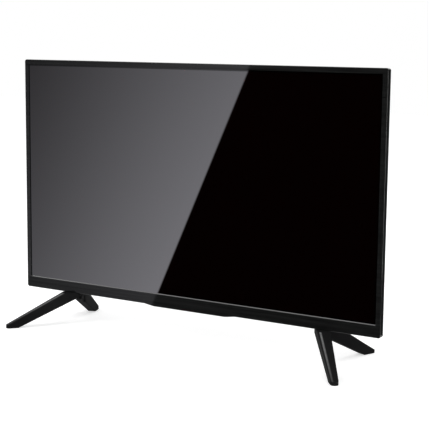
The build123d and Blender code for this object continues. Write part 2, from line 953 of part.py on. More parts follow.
def lan_socket():
    """Network socket facing down, with its latch notch."""
    half = lan_width / 2
    body = block(lan_x - half, lan_x + half, board_rear, board_rear + lan_rise, bottom_bay_wall,
                 bottom_bay_wall + lan_length)
    half = lan_mouth_width / 2
    low = board_rear + (lan_rise - lan_mouth_rise - lan_latch_rise) / 2
    top = bottom_bay_wall + lan_mouth_depth
    body -= block(lan_x - half, lan_x + half, low, low + lan_mouth_rise, 0, top)
    half = lan_latch_width / 2
    return body - block(lan_x - half, lan_x + half, low, low + lan_mouth_rise + lan_latch_rise, 0, top)


def aerial_tuner():
    """Screened tuner can with its aerial barrel facing down."""
    half = tuner_width / 2
    low = bottom_bay_wall + cover_wall + fit_gap
    body = block(tuner_x - half, tuner_x + half, board_rear, board_rear + tuner_rise, low,
                 low + tuner_length)
    start = (tuner_x, board_rear + tuner_rise / 2, low)
    barrel_length = cover_wall + fit_gap + tuner_barrel_length
    body += rod(start, (0, 0, -1), tuner_barrel_radius, barrel_length)
    mouth = (tuner_x, board_rear + tuner_rise / 2, bottom_bay_wall - tuner_barrel_length - overrun)
    return body - rod(mouth, (0, 0, 1), tuner_bore, tuner_barrel_length + overrun)


def av_jacks():
    """Three phono jacks facing down."""
    jacks = []
    half = av_block_width / 2
    low = bottom_bay_wall + cover_wall + fit_gap
    middle = board_rear + av_block_rise / 2
    for x in av_places:
        body = block(x - half, x + half, board_rear, board_rear + av_block_rise, low,
                     low + av_block_length)
        body += rod((x, middle, low), (0, 0, -1), av_barrel_radius, cover_wall + fit_gap + av_barrel_length)
        mouth = (x, middle, bottom_bay_wall - av_barrel_length - overrun)
        jacks.append(body - rod(mouth, (0, 0, 1), av_bore, 2 * av_barrel_length + overrun))
    return jacks


def optical_socket():
    """Square optical audio socket facing down."""
    half = optical_width / 2
    body = block(optical_x - half, optical_x + half, board_rear, board_rear + optical_rise,
                 bottom_bay_wall, bottom_bay_wall + optical_length)
    half = optical_mouth / 2
    middle = board_rear + optical_rise / 2
    return body - block(optical_x - half, optical_x + half, middle - half, middle + half, 0,
                        bottom_bay_wall + optical_mouth_depth)


def mains_inlet():
    """Two pin mains inlet facing out of the left bay."""
    outer = -side_bay_wall
    half = inlet_height / 2
    middle = board_rear + inlet_rise / 2
    body = block(outer, outer + inlet_length, board_rear, board_rear + inlet_rise, inlet_mid - half,
                 inlet_mid + half)
    mouth = Plane(origin=(outer, middle, inlet_mid), x_dir=(0, 0, 1), z_dir=(-1, 0, 0))
    opening = mouth * SlotOverall(inlet_mouth_width, inlet_mouth_rise)
    body -= extrude(opening, amount=inlet_mouth_depth, dir=(1, 0, 0))
    for offset in centred(2, inlet_pin_spacing):
        start = (outer + inlet_mouth_depth, middle, inlet_mid + offset)
        body += rod(start, (-1, 0, 0), inlet_pin_radius, inlet_pin_length)
    return body


def socket_cutouts():
    """Holes of the rear cover that the sockets show through."""
    inner = side_bay_wall - cover_wall - overrun
    outer = side_bay_wall + overrun
    low = board_rear - fit_gap
    cuts = []
    side_sizes = [(z, hdmi_width, hdmi_rise) for z in hdmi_heights]
    side_sizes.append((usb_height, usb_width, usb_rise))
    for z, width, rise in side_sizes:
        half = width / 2 + fit_gap
        cuts.append(block(inner, outer, low, board_rear + rise + fit_gap, z - half, z + half))
    nose = (inner, board_rear + jack_rise / 2, jack_height)
    cuts.append(rod(nose, (1, 0, 0), jack_nose_radius + fit_gap, outer - inner))
    half = inlet_height / 2 + fit_gap
    cuts.append(block(-outer, -inner, low, board_rear + inlet_rise + fit_gap, inlet_mid - half,
                      inlet_mid + half))
    deep = bottom_bay_wall - overrun
    high = bottom_bay_wall + cover_wall + overrun
    for x, width, rise in ((lan_x, lan_width, lan_rise), (optical_x, optical_width, optical_rise)):
        half = width / 2 + fit_gap
        cuts.append(block(x - half, x + half, low, board_rear + rise + fit_gap, deep, high))
    for x in av_places:
        cuts.append(rod((x, board_rear + av_block_rise / 2, deep), (0, 0, 1),
                        av_barrel_radius + fit_gap, high - deep))
    cuts.append(rod((tuner_x, board_rear + tuner_rise / 2, deep), (0, 0, 1),
                    tuner_barrel_radius + fit_gap, high - deep))
    return cuts


def speaker_box(side):
    """Speaker enclosure with an oval mouth in its underside."""
    middle = side * (speaker_inner + speaker_outer) / 2
    length = speaker_outer - speaker_inner
    depth_middle = speaker_front + speaker_depth / 2
    floor = Plane(origin=(middle, depth_middle, speaker_low))
    body = extrude(floor * RectangleRounded(length, speaker_depth, speaker_corner), amount=speaker_height)
    inner = RectangleRounded(length - 2 * speaker_wall, speaker_depth - 2 * speaker_wall,
                             speaker_corner - speaker_wall)
    cavity = Plane(origin=(middle, depth_middle, speaker_low + speaker_wall))
    body -= extrude(cavity * inner, amount=speaker_height - 2 * speaker_wall)
    mouth = SlotOverall(driver_mouth_length, driver_mouth_width)
    body -= extrude(floor * mouth, amount=speaker_wall)
    top = speaker_low + speaker_height - speaker_wall
    magnet = Plane(origin=(middle, depth_middle, top)) * Circle(magnet_radius)
    return body + extrude(magnet, amount=-magnet_height)


def speaker_cone(side):
    """Oval cone that faces down through the mouth of its enclosure."""
    middle = side * (speaker_inner + speaker_outer) / 2
    depth_middle = speaker_front + speaker_depth / 2
    rim = speaker_low + cone_travel / 2
    length = driver_mouth_length - 2 * fit_gap
    width = driver_mouth_width - 2 * fit_gap
    planes = [Plane(origin=(middle, depth_middle, rim + rise)) for rise in (0, cone_thickness, cone_rise)]
    collar = extrude(planes[0] * SlotOverall(length, width), amount=cone_thickness)
    hood = loft([planes[1] * SlotOverall(length, width),
                 planes[2] * SlotOverall(cone_cap_length, cone_cap_width)], ruled=True)
    dish = loft([planes[0] * SlotOverall(length - 2 * cone_seat, width - 2 * cone_seat),
                 Pos(0, 0, -cone_thickness) * planes[2]
                 * SlotOverall(cone_cap_length - cone_seat, cone_cap_width - cone_seat)], ruled=True)
    return collar + hood - dish


def speaker_grommets():
    """Rubber mounts between the speakers and the underside of the cover."""
    mounts = []
    for side in (-1, 1):
        for x in (speaker_inner + grommet_place, speaker_outer - grommet_place):
            for y in (speaker_front + grommet_place, speaker_front + speaker_depth - grommet_place):
                low = underside_inner(y + grommet_radius)
                mounts.append(rod((side * x, y, low), (0, 0, 1), grommet_radius, speaker_low - low))
    return mounts


def underside_inner(depth):
    """Height of the inner face of the bulge's underside at a depth."""
    start = deck_inside - bulge_round
    share = (depth - start) / (back_inside - start)
    return cover_wall + bulge_bottom_slope * share


def key_cap(z):
    """Key with a flange behind the cover and a stem towards its switch."""
    outline = RectangleRounded(key_width, key_height, key_corner)
    front = back_inside - fit_gap
    cap = plate(outline, front, cover_wall + fit_gap + key_proud, x=-key_column, z=z)
    cap = fillet(cap.faces().sort_by(Axis.Y)[-1].edges(), key_round)
    lip = RectangleRounded(key_width + 2 * key_flange_lip, key_height + 2 * key_flange_lip, key_corner)
    cap += plate(lip, front - key_flange, key_flange, x=-key_column, z=z)
    start = (-key_column, front - key_flange, z)
    return cap + rod(start, (0, -1, 0), key_stem_radius, key_stem_length)


def switch_rear():
    """Depth of the rear face of the key switches."""
    return back_inside - 2 * fit_gap - key_flange - key_stem_length - key_travel


def key_board():
    """Narrow board with one switch under each key."""
    front = switch_rear() - switch_height - board_thickness
    half = key_count * key_pitch / 2 + key_board_margin
    board = block(-key_column - key_board_width / 2, key_board_width / 2 - key_column, front,
                  front + board_thickness, key_middle - half, key_middle + half)
    for z in key_heights():
        board += plate(Rectangle(switch_size, switch_size), front + board_thickness, switch_height,
                       x=-key_column, z=z)
    return board


def receiver_board():
    """Small board with the infrared receiver behind the chin's window."""
    front = window_depth + receiver_depth
    low = bezel_wall + fit_gap
    half = receiver_board_width / 2
    board = block(-half, half, front, front + board_thickness, low, low + receiver_board_height)
    half = receiver_width / 2
    return board + block(-half, half, window_depth, front, low, window_rise)


def section_plane(point, direction):
    """Upright plane across a leg, with local y up."""
    return Plane(origin=(point[0], point[1], foot_floor), x_dir=(-direction[1], direction[0], 0),
                 z_dir=(direction[0], direction[1], 0))


def leg_section(half, low, top, outer):
    """Cross section of a leg: flat below, with a ridge near its inner edge."""
    height = top - low
    return Polygon(
        (-outer * half, low),
        (outer * half, low),
        (outer * half, top - outer_drop_share * height),
        (-outer * ridge_share * half, top),
        (-outer * half, top - inner_drop_share * height),
        align=None,
    )


def leg(toe, root_half, toe_half, root, tip, outer):
    """Tapered leg from the apex to a toe that is round in plan."""
    span = hypot(toe[0] - foot_apex_x, toe[1] - foot_apex_y)
    direction = ((toe[0] - foot_apex_x) / span, (toe[1] - foot_apex_y) / span)
    end = (toe[0] + direction[0] * toe_half, toe[1] + direction[1] * toe_half)
    sections = [
        section_plane((foot_apex_x, foot_apex_y), direction) * leg_section(root_half, *root, outer),
        section_plane(end, direction) * leg_section(toe_half, *tip, outer),
    ]
    bar = loft(sections, ruled=True)
    ends = bar.faces().sort_by(Axis((foot_apex_x, foot_apex_y, 0), (*direction, 0)))
    long_edges = bar.edges() - ends[0].edges() - ends[-1].edges()
    bar = fillet(long_edges, leg_round)
    across = (-direction[1] * root_half, direction[0] * root_half)
    narrow = (-direction[1] * toe_half, direction[0] * toe_half)
    plan = Polygon(
        (foot_apex_x + across[0], foot_apex_y + across[1]),
        (foot_apex_x - across[0], foot_apex_y - across[1]),
        (toe[0] - narrow[0], toe[1] - narrow[1]),
        (toe[0] + narrow[0], toe[1] + narrow[1]),
        align=None,
    )
    plan += Pos(*toe) * Circle(toe_half)
    ground = Pos(0, 0, foot_floor + pad_proud)
    return bar & extrude(ground * plan, amount=stand_height - pad_proud)


def front_toe():
    """Middle of the front toe in plan."""
    return front_toe_x, front_toe_half - foot_front_reach


def rear_toe():
    """Middle of the rear toe in plan."""
    return rear_toe_x, foot_rear_reach - rear_toe_half


def foot_screw_places():
    """y of the two screws of a foot."""
    return [foot_apex_y + foot_screw_offset + offset for offset in centred(2, foot_screw_spacing)]


def tongue(gap):
    """Peg on top of a foot, or its socket when a gap is given."""
    middle = sum(foot_screw_places()) / 2
    outline = Rectangle(tongue_width + 2 * gap, tongue_depth + 2 * gap)
    return extrude(Pos(foot_apex_x, middle, 0) * outline, amount=tongue_height + gap)


def right_foot():
    """Foot with a front leg, a rear leg and the hub that joins them."""
    foot = leg(front_toe(), front_root_half, front_toe_half, (front_root_low, front_root_top),
               (front_toe_low, front_toe_top), 1)
    foot += leg(rear_toe(), rear_root_half, rear_toe_half, (rear_root_low, rear_root_top),
                (rear_toe_low, rear_toe_top), -1)
    top = RectangleRounded(hub_width, hub_length, hub_corner)
    low = RectangleRounded(hub_width - 2 * hub_taper, hub_length - 2 * hub_taper, hub_corner - hub_taper)
    middle = sum(foot_screw_places()) / 2
    foot += loft([Pos(foot_apex_x, middle, -hub_drop) * low, Pos(foot_apex_x, middle, 0) * top],
                 ruled=True)
    foot += tongue(0)
    tools = []
    for y in foot_screw_places():
        tools.append(rod((foot_apex_x, y, -stand_height), (0, 0, 1), foot_screw_hole, 2 * stand_height))
        tools.append(rod((foot_apex_x, y, -stand_height), (0, 0, 1), foot_screw_head + fit_gap,
                         stand_height - foot_screw_recess))
    tools += [pad(toe, pad_width / 2, screw_gap) for toe in (front_toe(), rear_toe())]
    return foot - tools


def pad(toe, half, gap):
    """Rubber pad under a toe, or its pocket when a gap is given."""
    angle = Vector(toe[0] - foot_apex_x, toe[1] - foot_apex_y).get_angle(Vector(1, 0, 0))
    turn = angle if toe[1] > foot_apex_y else -angle
    outline = Rot(0, 0, turn) * SlotOverall(pad_length + 2 * gap, 2 * half + 2 * gap)
    back = Vector(foot_apex_x - toe[0], foot_apex_y - toe[1]).normalized() * (pad_length / 2 - half)
    place = Pos(toe[0] + back.X, toe[1] + back.Y, foot_floor)
    return extrude(place * outline, amount=pad_thickness)


def foot_pads():
    """Rubber pads under the four toes."""
    right = [pad(toe, pad_width / 2, 0) for toe in (front_toe(), rear_toe())]
    return right + [mirror(item, about=Plane.YZ) for item in right]


def foot_screws():
    """Screws that hold the feet, driven from below."""
    screws = []
    for side in (-1, 1):
        for y in foot_screw_places():
            seat = (side * foot_apex_x, y, -foot_screw_recess)
            head = rod(seat, (0, 0, -1), foot_screw_head, foot_screw_head_height)
            screws.append(head + rod(seat, (0, 0, 1), foot_screw_radius, foot_screw_length))
    return screws


def foot_cutouts():
    """Holes in the underside of the rear cover for the feet."""
    cuts = [tongue(fit_gap)]
    for y in foot_screw_places():
        cuts.append(rod((foot_apex_x, y, -overrun), (0, 0, 1), foot_screw_hole, 2 * overrun))
    return cuts + [mirror(item, about=Plane.YZ) for item in cuts]


def foot_brackets():
    """Steel brackets that the feet screw into, seated on the tray's back."""
    front = edge_depth + fit_gap
    rear = front + bracket_length
    base = underside_inner(rear)
    profile = Plane.YZ * Polygon(
        (front, base), (rear, base), (rear, base + bracket_height),
        (tray_back + bracket_sheet, base + bracket_height), (tray_back + bracket_sheet, bracket_upright),
        (tray_back, bracket_upright), (tray_back, base + bracket_height), (front, base + bracket_height),
        align=None)
    body = Pos(foot_apex_x - bracket_width / 2, 0, 0) * extrude(profile, amount=bracket_width)
    tools = [tongue(fit_gap)]
    for y in foot_screw_places():
        tools.append(rod((foot_apex_x, y, -overrun), (0, 0, 1), foot_screw_radius + screw_gap,
                         stand_height))
    body -= tools
    return [body, mirror(body, about=Plane.YZ)]


def ribbon_height():
    """Height of the middle of the display ribbon."""
    return board_low + timing_board_height / 2


def speaker_plug_place(side):
    """x and z of a speaker's plug on the main board."""
    if side < 0:
        return main_board_inner + 2 * plug_width, ribbon_height() + ribbon_width / 2 + plug_width
    return speaker_inner + 2 * plug_width, board_low + plug_width


def sensor_plug_place():
    """x and z of the plug for the keys and the receiver."""
    return main_board_inner + 2 * plug_width, board_high - plug_width


def lamp_plug_place():
    """x and z of the plug for the light strips."""
    return power_board_inner - 2 * plug_width, board_high - plug_width


def supply_plug_place(side):
    """x and z of the supply plug on the main board or the power board."""
    if side > 0:
        return main_board_inner + 2 * plug_width, supply_height
    return power_board_inner - 2 * plug_width, supply_height


def speaker_leads():
    """Wires from the two speakers to the main board."""
    plug_top = board_rear + plug_height
    depth = speaker_lead_depth
    x, z = speaker_plug_place(-1)
    left = lead([(-speaker_inner, depth, speaker_lead_height),
                 (speaker_lead_turn, depth, speaker_lead_height),
                 (speaker_lead_turn, depth, z), (x, depth, z), (x, plug_top, z)],
                lead_radius, [lead_wide_bend, lead_wide_bend, lead_bend])
    x, z = speaker_plug_place(1)
    right = lead([(x, depth, speaker_low + speaker_height), (x, depth, z), (x, plug_top, z)],
                 lead_radius, lead_bend)
    return [left, right]


def sensor_leads():
    """Wires from the infrared receiver and from the key board to the main board."""
    plug_top = board_rear + plug_height
    x, z = sensor_plug_place()
    low = z - lead_pitch / 2
    depth = receiver_lead_depth
    start = window_depth + receiver_depth + board_thickness
    receiver = lead([(receiver_lead_x, start, receiver_lead_height),
                     (receiver_lead_x, depth, receiver_lead_height),
                     (receiver_lead_turn, depth, receiver_lead_climb),
                     (receiver_lead_turn, depth, low), (x, depth, low), (x, plug_top, low)],
                    lead_radius, [lead_bend, lead_bend, lead_bend, lead_tight_bend])
    high = z + lead_pitch / 2
    depth = key_lead_depth
    start = switch_rear() - switch_height - board_thickness
    keys = lead([(-key_column, start, key_lead_height), (-key_column, depth, key_lead_height),
                 (x, depth, key_lead_height), (x, depth, high), (x, plug_top, high)],
                lead_radius, [lead_tight_bend, lead_wide_bend, lead_wide_bend])
    return [receiver, keys]


def lamp_lead():
    """Wire from the power board through the tray to the light strips."""
    x, z = lamp_plug_place()
    depth = lamp_lead_depth
    return lead([(x, board_rear + plug_height, z), (x, depth, z), (lamp_hole_x, depth, z + lead_wide_bend),
                 (lamp_hole_x, depth, screen_mid), (lamp_hole_x, tray_floor, screen_mid)],
                lead_radius, [lead_bend, lead_wide_bend, lead_wide_bend])


def supply_lead():
    """Wire from the power board to the main board."""
    left, z = supply_plug_place(-1)
    right = supply_plug_place(1)[0]
    depth = supply_lead_depth
    plug_top = board_rear + plug_height
    return lead([(left, plug_top, z), (left, depth, z), (right, depth, z), (right, plug_top, z)],
                lead_radius, lead_bend)


def display_ribbon():
    """Flat ribbon from the main board to the timing board."""
    left = timing_board_left + timing_board_width - board_margin - plug_width
    right = main_board_inner + board_margin + plug_width
    crest = board_rear + ribbon_rise
    low_left = timing_rear + plug_height / 2
    low_right = board_rear + plug_height / 2
    path = FilletPolyline((left, low_left), (left, crest), (right, crest), (right, low_right),
                          radius=ribbon_bend)
    flat = trace(path, line_width=ribbon_thickness)
    return Pos(0, 0, ribbon_height() - ribbon_width / 2) * extrude(flat, amount=ribbon_width)


def placed(shape):
    """Shape moved from the panel's frame onto its feet."""
    solids = shape if isinstance(shape, list) else [shape]
    moved = [Pos(0, front_y, stand_height) * item for item in solids]
    return moved[0] if len(moved) == 1 else Compound(children=moved)


pieces = {
    "front_bezel": front_bezel(),
    "infrared_window": infrared_window(),
    "lcd_glass": lcd_glass(),
    "driver_boards": driver_boards(),
    "panel_flex": panel_flex(),
    "mid_frame": mid_frame(),
    "optical_films": optical_films(),
    "diffuser_plate": diffuser_plate(),
    "reflector_sheet": reflector(),
    "light_strips": light_strips(),
    "strip_lenses": strip_lenses(),
    "backlight_tray": backlight_tray(),
    "rear_cover": rear_cover(),
    "rear_cover_screws": cover_screws(),
    "wall_mount_posts": wall_posts(),
    "main_board": main_board(),
    "main_heatsink": main_heatsink(),
    "hdmi_sockets": hdmi_sockets(),
    "usb_socket": usb_socket(),
    "headphone_jack": headphone_jack(),
    "lan_socket": lan_socket(),
    "aerial_tuner": aerial_tuner(),
    "av_jacks": av_jacks(),
    "optical_socket": optical_socket(),
    "power_board": power_board(),
    "transformer": transformer(),
    "mains_capacitors": mains_capacitors(),
    "power_heatsink": power_heatsink(),
    "mains_inlet": mains_inlet(),
    "timing_board": timing_board(),
    "display_ribbon": display_ribbon(),
    "board_screws": board_screws(),
    "speaker_leads": speaker_leads(),
    "sensor_leads": sensor_leads(),
    "lamp_lead": lamp_lead(),
    "supply_lead": supply_lead(),
    "speaker_left": speaker_box(-1),
    "speaker_right": speaker_box(1),
    "speaker_cone_left": speaker_cone(-1),
    "speaker_cone_right": speaker_cone(1),
    "speaker_grommets": speaker_grommets(),
    "key_board": key_board(),
    "receiver_board": receiver_board(),
    "foot_right": right_foot(),
    "foot_left": mirror(right_foot(), about=Plane.YZ),
    "foot_pads": foot_pads(),
    "foot_screws": foot_screws(),
    "foot_brackets": foot_brackets(),
}

key_names = ("power", "source", "menu", "channel_down", "channel_up", "volume_down", "volume_up")
for name, height in zip(key_names, key_heights()):
    pieces[f"{name}_key"] = key_cap(height)

os.makedirs("parts", exist_ok=True)
for name, shape in pieces.items():
    export_step(placed(shape), f"parts/{name}.step")
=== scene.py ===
import bmesh
import bpy
import math
from mathutils import Matrix, Vector


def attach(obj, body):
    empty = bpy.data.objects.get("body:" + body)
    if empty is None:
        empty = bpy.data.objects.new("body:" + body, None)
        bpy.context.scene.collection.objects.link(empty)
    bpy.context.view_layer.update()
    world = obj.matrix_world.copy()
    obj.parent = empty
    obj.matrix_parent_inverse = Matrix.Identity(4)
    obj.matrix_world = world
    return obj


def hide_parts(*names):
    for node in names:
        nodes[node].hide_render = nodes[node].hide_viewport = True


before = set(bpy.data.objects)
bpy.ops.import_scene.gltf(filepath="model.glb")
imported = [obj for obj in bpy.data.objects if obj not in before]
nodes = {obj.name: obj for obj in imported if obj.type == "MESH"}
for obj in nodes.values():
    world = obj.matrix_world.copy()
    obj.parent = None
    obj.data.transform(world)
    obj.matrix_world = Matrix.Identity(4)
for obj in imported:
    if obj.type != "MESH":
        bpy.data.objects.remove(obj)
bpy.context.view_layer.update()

MM = 0.001

# Lengths of the source, in millimetres. A place is an x from the middle, a depth behind the bezel's face
# and a height z above the panel's lower edge. FRONT is that face's y, and STAND the height of that edge.
FRONT = -13.5
STAND = 58.0
OPENING_WIDTH = 700.0
OPENING_LOW = 21.2
OPENING_HEIGHT = 391.8
GLASS_DEPTH = 1.5
DRIVER_FACE = 2.7
STRIP_FACE = 26.0
TIMING_FACE = 31.6
BOARD_FACE = 35.6
SMALL_FACE = 72.1
CAPACITOR_LENGTH = 30.0
TRANSFORMER_X = -144.5
TAPE_HALF = 9.1
INLET_DEPTH = 45.1
INLET_Z = 82.0
PIN_OFFSET = 4.3
PIN_RADIUS = 1.35
JACK_MIDDLE = 106.0
JACK_PITCH = 14.0
JACK_AXIS = 6.0
JACK_RING = 3.3
JACK_COLLAR = 48.0
JACK_TIP = 40.6
CREST_TOP = (243.8, 7.9, 15.4)
CREST_TOE = (325.4, -98.3, -50.5)
COVER_BACK = 31.0
TOP_SCREWS_X = (-250.0, 0.0, 250.0)
TOP_SCREWS_Z = 380.0
SIDE_SCREWS_X = 318.0
SIDE_SCREWS_Z = (40.0, 300.0)
FOOT_SCREWS_X = 250.0
FOOT_SCREWS_DEPTH = (15.9, 32.9)
FOOT_SCREWS_Z = -3.5
MOUNTS_X = (198.0, 264.0)
MOUNTS_DEPTH = 57.0
MOUNTS_Z = 10.0
HDMI_Z = (132.0, 111.0)
USB_Z = 91.0
NETWORK_X = 140.0


def spot(x, depth, z):
    """Point of the panel's frame, in millimetres, as a point of the scene."""
    return Vector((x * MM, (depth + FRONT) * MM, (z + STAND) * MM))


# Materials

# Colour sockets of a mix node, whose sockets share their names
MIX_FIRST = 6
MIX_SECOND = 7
MIX_RESULT = 2


class Material:
    """Small builder round a principled shader; textures follow the object's own coordinates."""

    def __init__(self, name, roughness=0.5, metallic=0.0, ior=1.5, **sockets):
        self.data = bpy.data.materials.new(name)
        self.data.use_nodes = True
        self.tree = self.data.node_tree
        self.shader = self.tree.nodes["Principled BSDF"]
        self.surface = self.tree.nodes["Material Output"].inputs["Surface"]
        self.shader.inputs["Roughness"].default_value = roughness
        self.shader.inputs["Metallic"].default_value = metallic
        self.shader.inputs["IOR"].default_value = ior
        for key, value in sockets.items():
            self.shader.inputs[key.replace("_", " ")].default_value = value
        self.coordinates = self.node("ShaderNodeTexCoord").outputs["Object"]
        split = self.node("ShaderNodeSeparateXYZ")
        self.link(self.coordinates, split.inputs[0])
        self.x, self.y, self.z = split.outputs
        self.normal = None

    def node(self, kind, **settings):
        """New node with the settings given."""
        made = self.tree.nodes.new(kind)
        for key, value in settings.items():
            setattr(made, key, value)
        return made

    def link(self, output, socket):
        """Links an output to a socket."""
        self.tree.links.new(output, socket)

    def feed(self, value, socket):
        """Links an output to a socket, or sets a colour, vector or number on it."""
        if isinstance(value, bpy.types.NodeSocket):
            self.link(value, socket)
        elif isinstance(value, tuple):
            socket.default_value = (*value, 1)
        else:
            socket.default_value = value

    def stretched(self, stretch):
        """Coordinates for a texture, scaled along each axis, or as they are."""
        if stretch is None:
            return self.coordinates
        made = self.node("ShaderNodeMapping")
        made.inputs["Scale"].default_value = stretch
        self.link(self.coordinates, made.inputs["Vector"])
        return made.outputs[0]

    def noise(self, scale, detail=3.0, rough=0.55, stretch=None, warp=0.0):
        """Noise texture, whose scale counts its waves in a metre."""
        made = self.node("ShaderNodeTexNoise")
        made.inputs["Scale"].default_value = scale
        made.inputs["Detail"].default_value = detail
        made.inputs["Roughness"].default_value = rough
        made.inputs["Distortion"].default_value = warp
        self.link(self.stretched(stretch), made.inputs["Vector"])
        return made.outputs["Fac"]

    def cells(self, scale, output="Distance"):
        """Cell texture, as the distance from each cell's middle or as a colour for each cell."""
        made = self.node("ShaderNodeTexVoronoi")
        made.inputs["Scale"].default_value = scale
        self.link(self.coordinates, made.inputs["Vector"])
        return made.outputs[output]

    def math(self, operation, first, second=0.0):
        """Result of an operation on one or two numbers."""
        made = self.node("ShaderNodeMath", operation=operation)
        self.feed(first, made.inputs[0])
        self.feed(second, made.inputs[1])
        return made.outputs[0]

    def vector(self, operation, first, second=None, output="Vector"):
        """Result of an operation on one or two vectors."""
        made = self.node("ShaderNodeVectorMath", operation=operation)
        self.feed(first, made.inputs[0])
        if second is not None:
            self.feed(second, made.inputs[1])
        return made.outputs[output]

    def remap(self, value, low, high, out_low=0.0, out_high=1.0):
        """Value taken from one range to another, and held at its ends."""
        made = self.node("ShaderNodeMapRange")
        for item, socket in zip((value, low, high, out_low, out_high), made.inputs):
            self.feed(item, socket)
        return made.outputs[0]

    def mix(self, factor, first, second):
        """Mixed colour."""
        made = self.node("ShaderNodeMix", data_type="RGBA")
        self.feed(factor, made.inputs[0])
        self.feed(first, made.inputs[MIX_FIRST])
        self.feed(second, made.inputs[MIX_SECOND])
        return made.outputs[MIX_RESULT]

    def above(self, value, limit, soft=0.00002):
        """0 below a limit and 1 above it, with a short ramp between."""
        return self.remap(value, limit - soft, limit + soft)

    def repeat(self, value, pitch, share):
        """1 over a share of each step of a pitch, else 0."""
        step = self.math("FRACT", self.math("DIVIDE", value, pitch))
        return self.math("LESS_THAN", step, share)

    def radius(self, first, first_centre, second, second_centre):
        """Distance from an axis, given by two coordinates."""
        a = self.math("SUBTRACT", first, first_centre)
        b = self.math("SUBTRACT", second, second_centre)
        squares = self.math("ADD", self.math("MULTIPLY", a, a), self.math("MULTIPLY", b, b))
        return self.math("SQRT", squares)

    def drift(self, dark, light, scale, detail=3.0, low=0.3, high=0.7, **noise):
        """Colour that drifts from dark to light with a noise."""
        return self.mix(self.remap(self.noise(scale, detail, **noise), low, high), dark, light)

    def paint(self, colour):
        """Sets the base colour."""
        self.feed(colour, self.shader.inputs["Base Color"])
        return self

    def polish(self, roughness):
        """Sets the roughness."""
        self.feed(roughness, self.shader.inputs["Roughness"])
        return self

    def sheen(self, smooth, dull, scale, detail=3.0, rough=0.55):
        """Sets a roughness that drifts from smooth to dull with a noise."""
        return self.polish(self.remap(self.noise(scale, detail, rough), 0.3, 0.7, smooth, dull))

    def metal(self, share):
        """Sets which places are metal."""
        self.feed(share, self.shader.inputs["Metallic"])
        return self

    def relief(self, height, strength, depth):
        """Adds a bump to those before it, with its depth in metres."""
        made = self.node("ShaderNodeBump")
        made.inputs["Strength"].default_value = strength
        made.inputs["Distance"].default_value = depth
        self.link(height, made.inputs["Height"])
        if self.normal:
            self.link(self.normal, made.inputs["Normal"])
        self.normal = made.outputs[0]
        self.link(self.normal, self.shader.inputs["Normal"])
        return self


def shaded(colour, share):
    """A colour with each part multiplied."""
    return tuple(part * share for part in colour)


def moulded(name, colour, roughness, grain, depth=0.00004, ior=1.46):
    """Moulded plastic with a fine spark grain and faint flow and handling marks."""
    m = Material(name, ior=ior)
    m.paint(m.drift(shaded(colour, 0.82), shaded(colour, 1.22), scale=9.0, detail=4.0, low=0.35, high=0.65))
    m.sheen(roughness - 0.05, roughness + 0.07, scale=38.0, detail=5.0, rough=0.6)
    m.relief(m.noise(grain, detail=2.0, rough=0.7), strength=0.9, depth=depth)
    return m.relief(m.noise(grain / 9, detail=2.0), strength=0.12, depth=depth * 2)


def sheet_steel():
    """Galvanised sheet steel with its spangle and rolling lines."""
    m = Material("galvanised_steel", metallic=1.0)
    colour = (0.62, 0.63, 0.64)
    grey = m.node("ShaderNodeRGBToBW")
    m.link(m.cells(120.0, "Color"), grey.inputs[0])
    spangle = m.remap(grey.outputs[0], 0.2, 0.8)
    m.paint(m.mix(spangle, shaded(colour, 0.8), colour))
    m.polish(m.remap(spangle, 0.0, 1.0, 0.32, 0.46))
    return m.relief(m.noise(60.0, stretch=(1, 1, 22)), strength=0.12, depth=0.00003)


def turned_metal(name, colour, roughness):
    """Plated metal with turning lines and small scratches."""
    m = Material(name, metallic=1.0)
    m.paint(m.drift(shaded(colour, 0.78), colour, scale=420.0, detail=4.0, low=0.35, high=0.7, rough=0.65))
    m.sheen(roughness - 0.07, roughness + 0.12, scale=150.0, detail=5.0)
    return m.relief(m.noise(900.0, detail=2.0, stretch=(1, 6, 1)), strength=0.15, depth=0.00001)


def lined_metal(name, roughness, dark, light, colour_stretch, relief_stretch):
    """Extruded or rolled metal, with fine lines across the stretch."""
    m = Material(name, roughness, metallic=1.0)
    m.paint(m.drift(dark, light, scale=90.0, detail=4.0, stretch=colour_stretch))
    return m.relief(m.noise(200.0, stretch=relief_stretch), strength=0.15, depth=0.00003)


def circuit(name, colour, face, chips=(0.02, 0.02, 0.022)):
    """Circuit board with its back face at a depth: mask with tracks and pads, and the parts behind it."""
    m = Material(name)
    pad = (0.55, 0.53, 0.5)
    track = tuple(min(1.0, part * 1.9 + 0.01) for part in colour)
    clearance = 0.15
    sway = m.math("MULTIPLY", m.noise(55.0, detail=2.0), 0.003)
    across = m.repeat(m.math("ADD", m.x, sway), pitch=0.0023, share=0.3)
    along = m.repeat(m.math("ADD", m.z, sway), pitch=0.0037, share=0.22)
    crowded = m.above(m.noise(70.0, detail=1.0), 0.5, soft=0.02)
    tracks = m.math("MULTIPLY", m.math("MAXIMUM", across, along), crowded)
    board = m.mix(tracks, colour, track)
    board = m.mix(m.math("LESS_THAN", m.cells(420.0), 0.16), board, pad)
    m.paint(m.mix(m.above(m.y, (face + clearance + FRONT) * MM), board, chips))
    m.sheen(0.28, 0.45, scale=90.0)
    return m.relief(tracks, strength=0.25, depth=0.00005)


def insulated(name, colour, tracer):
    """Insulated wire with a thin tracer line and a soft vinyl sheen."""
    m = Material(name)
    spiral = m.math("ADD", m.x, m.math("ADD", m.y, m.z))
    m.paint(m.mix(m.repeat(spiral, pitch=0.009, share=0.16), colour, tracer))
    m.sheen(0.36, 0.5, scale=200.0)
    return m.relief(m.noise(700.0, detail=2.0), strength=0.2, depth=0.00003)


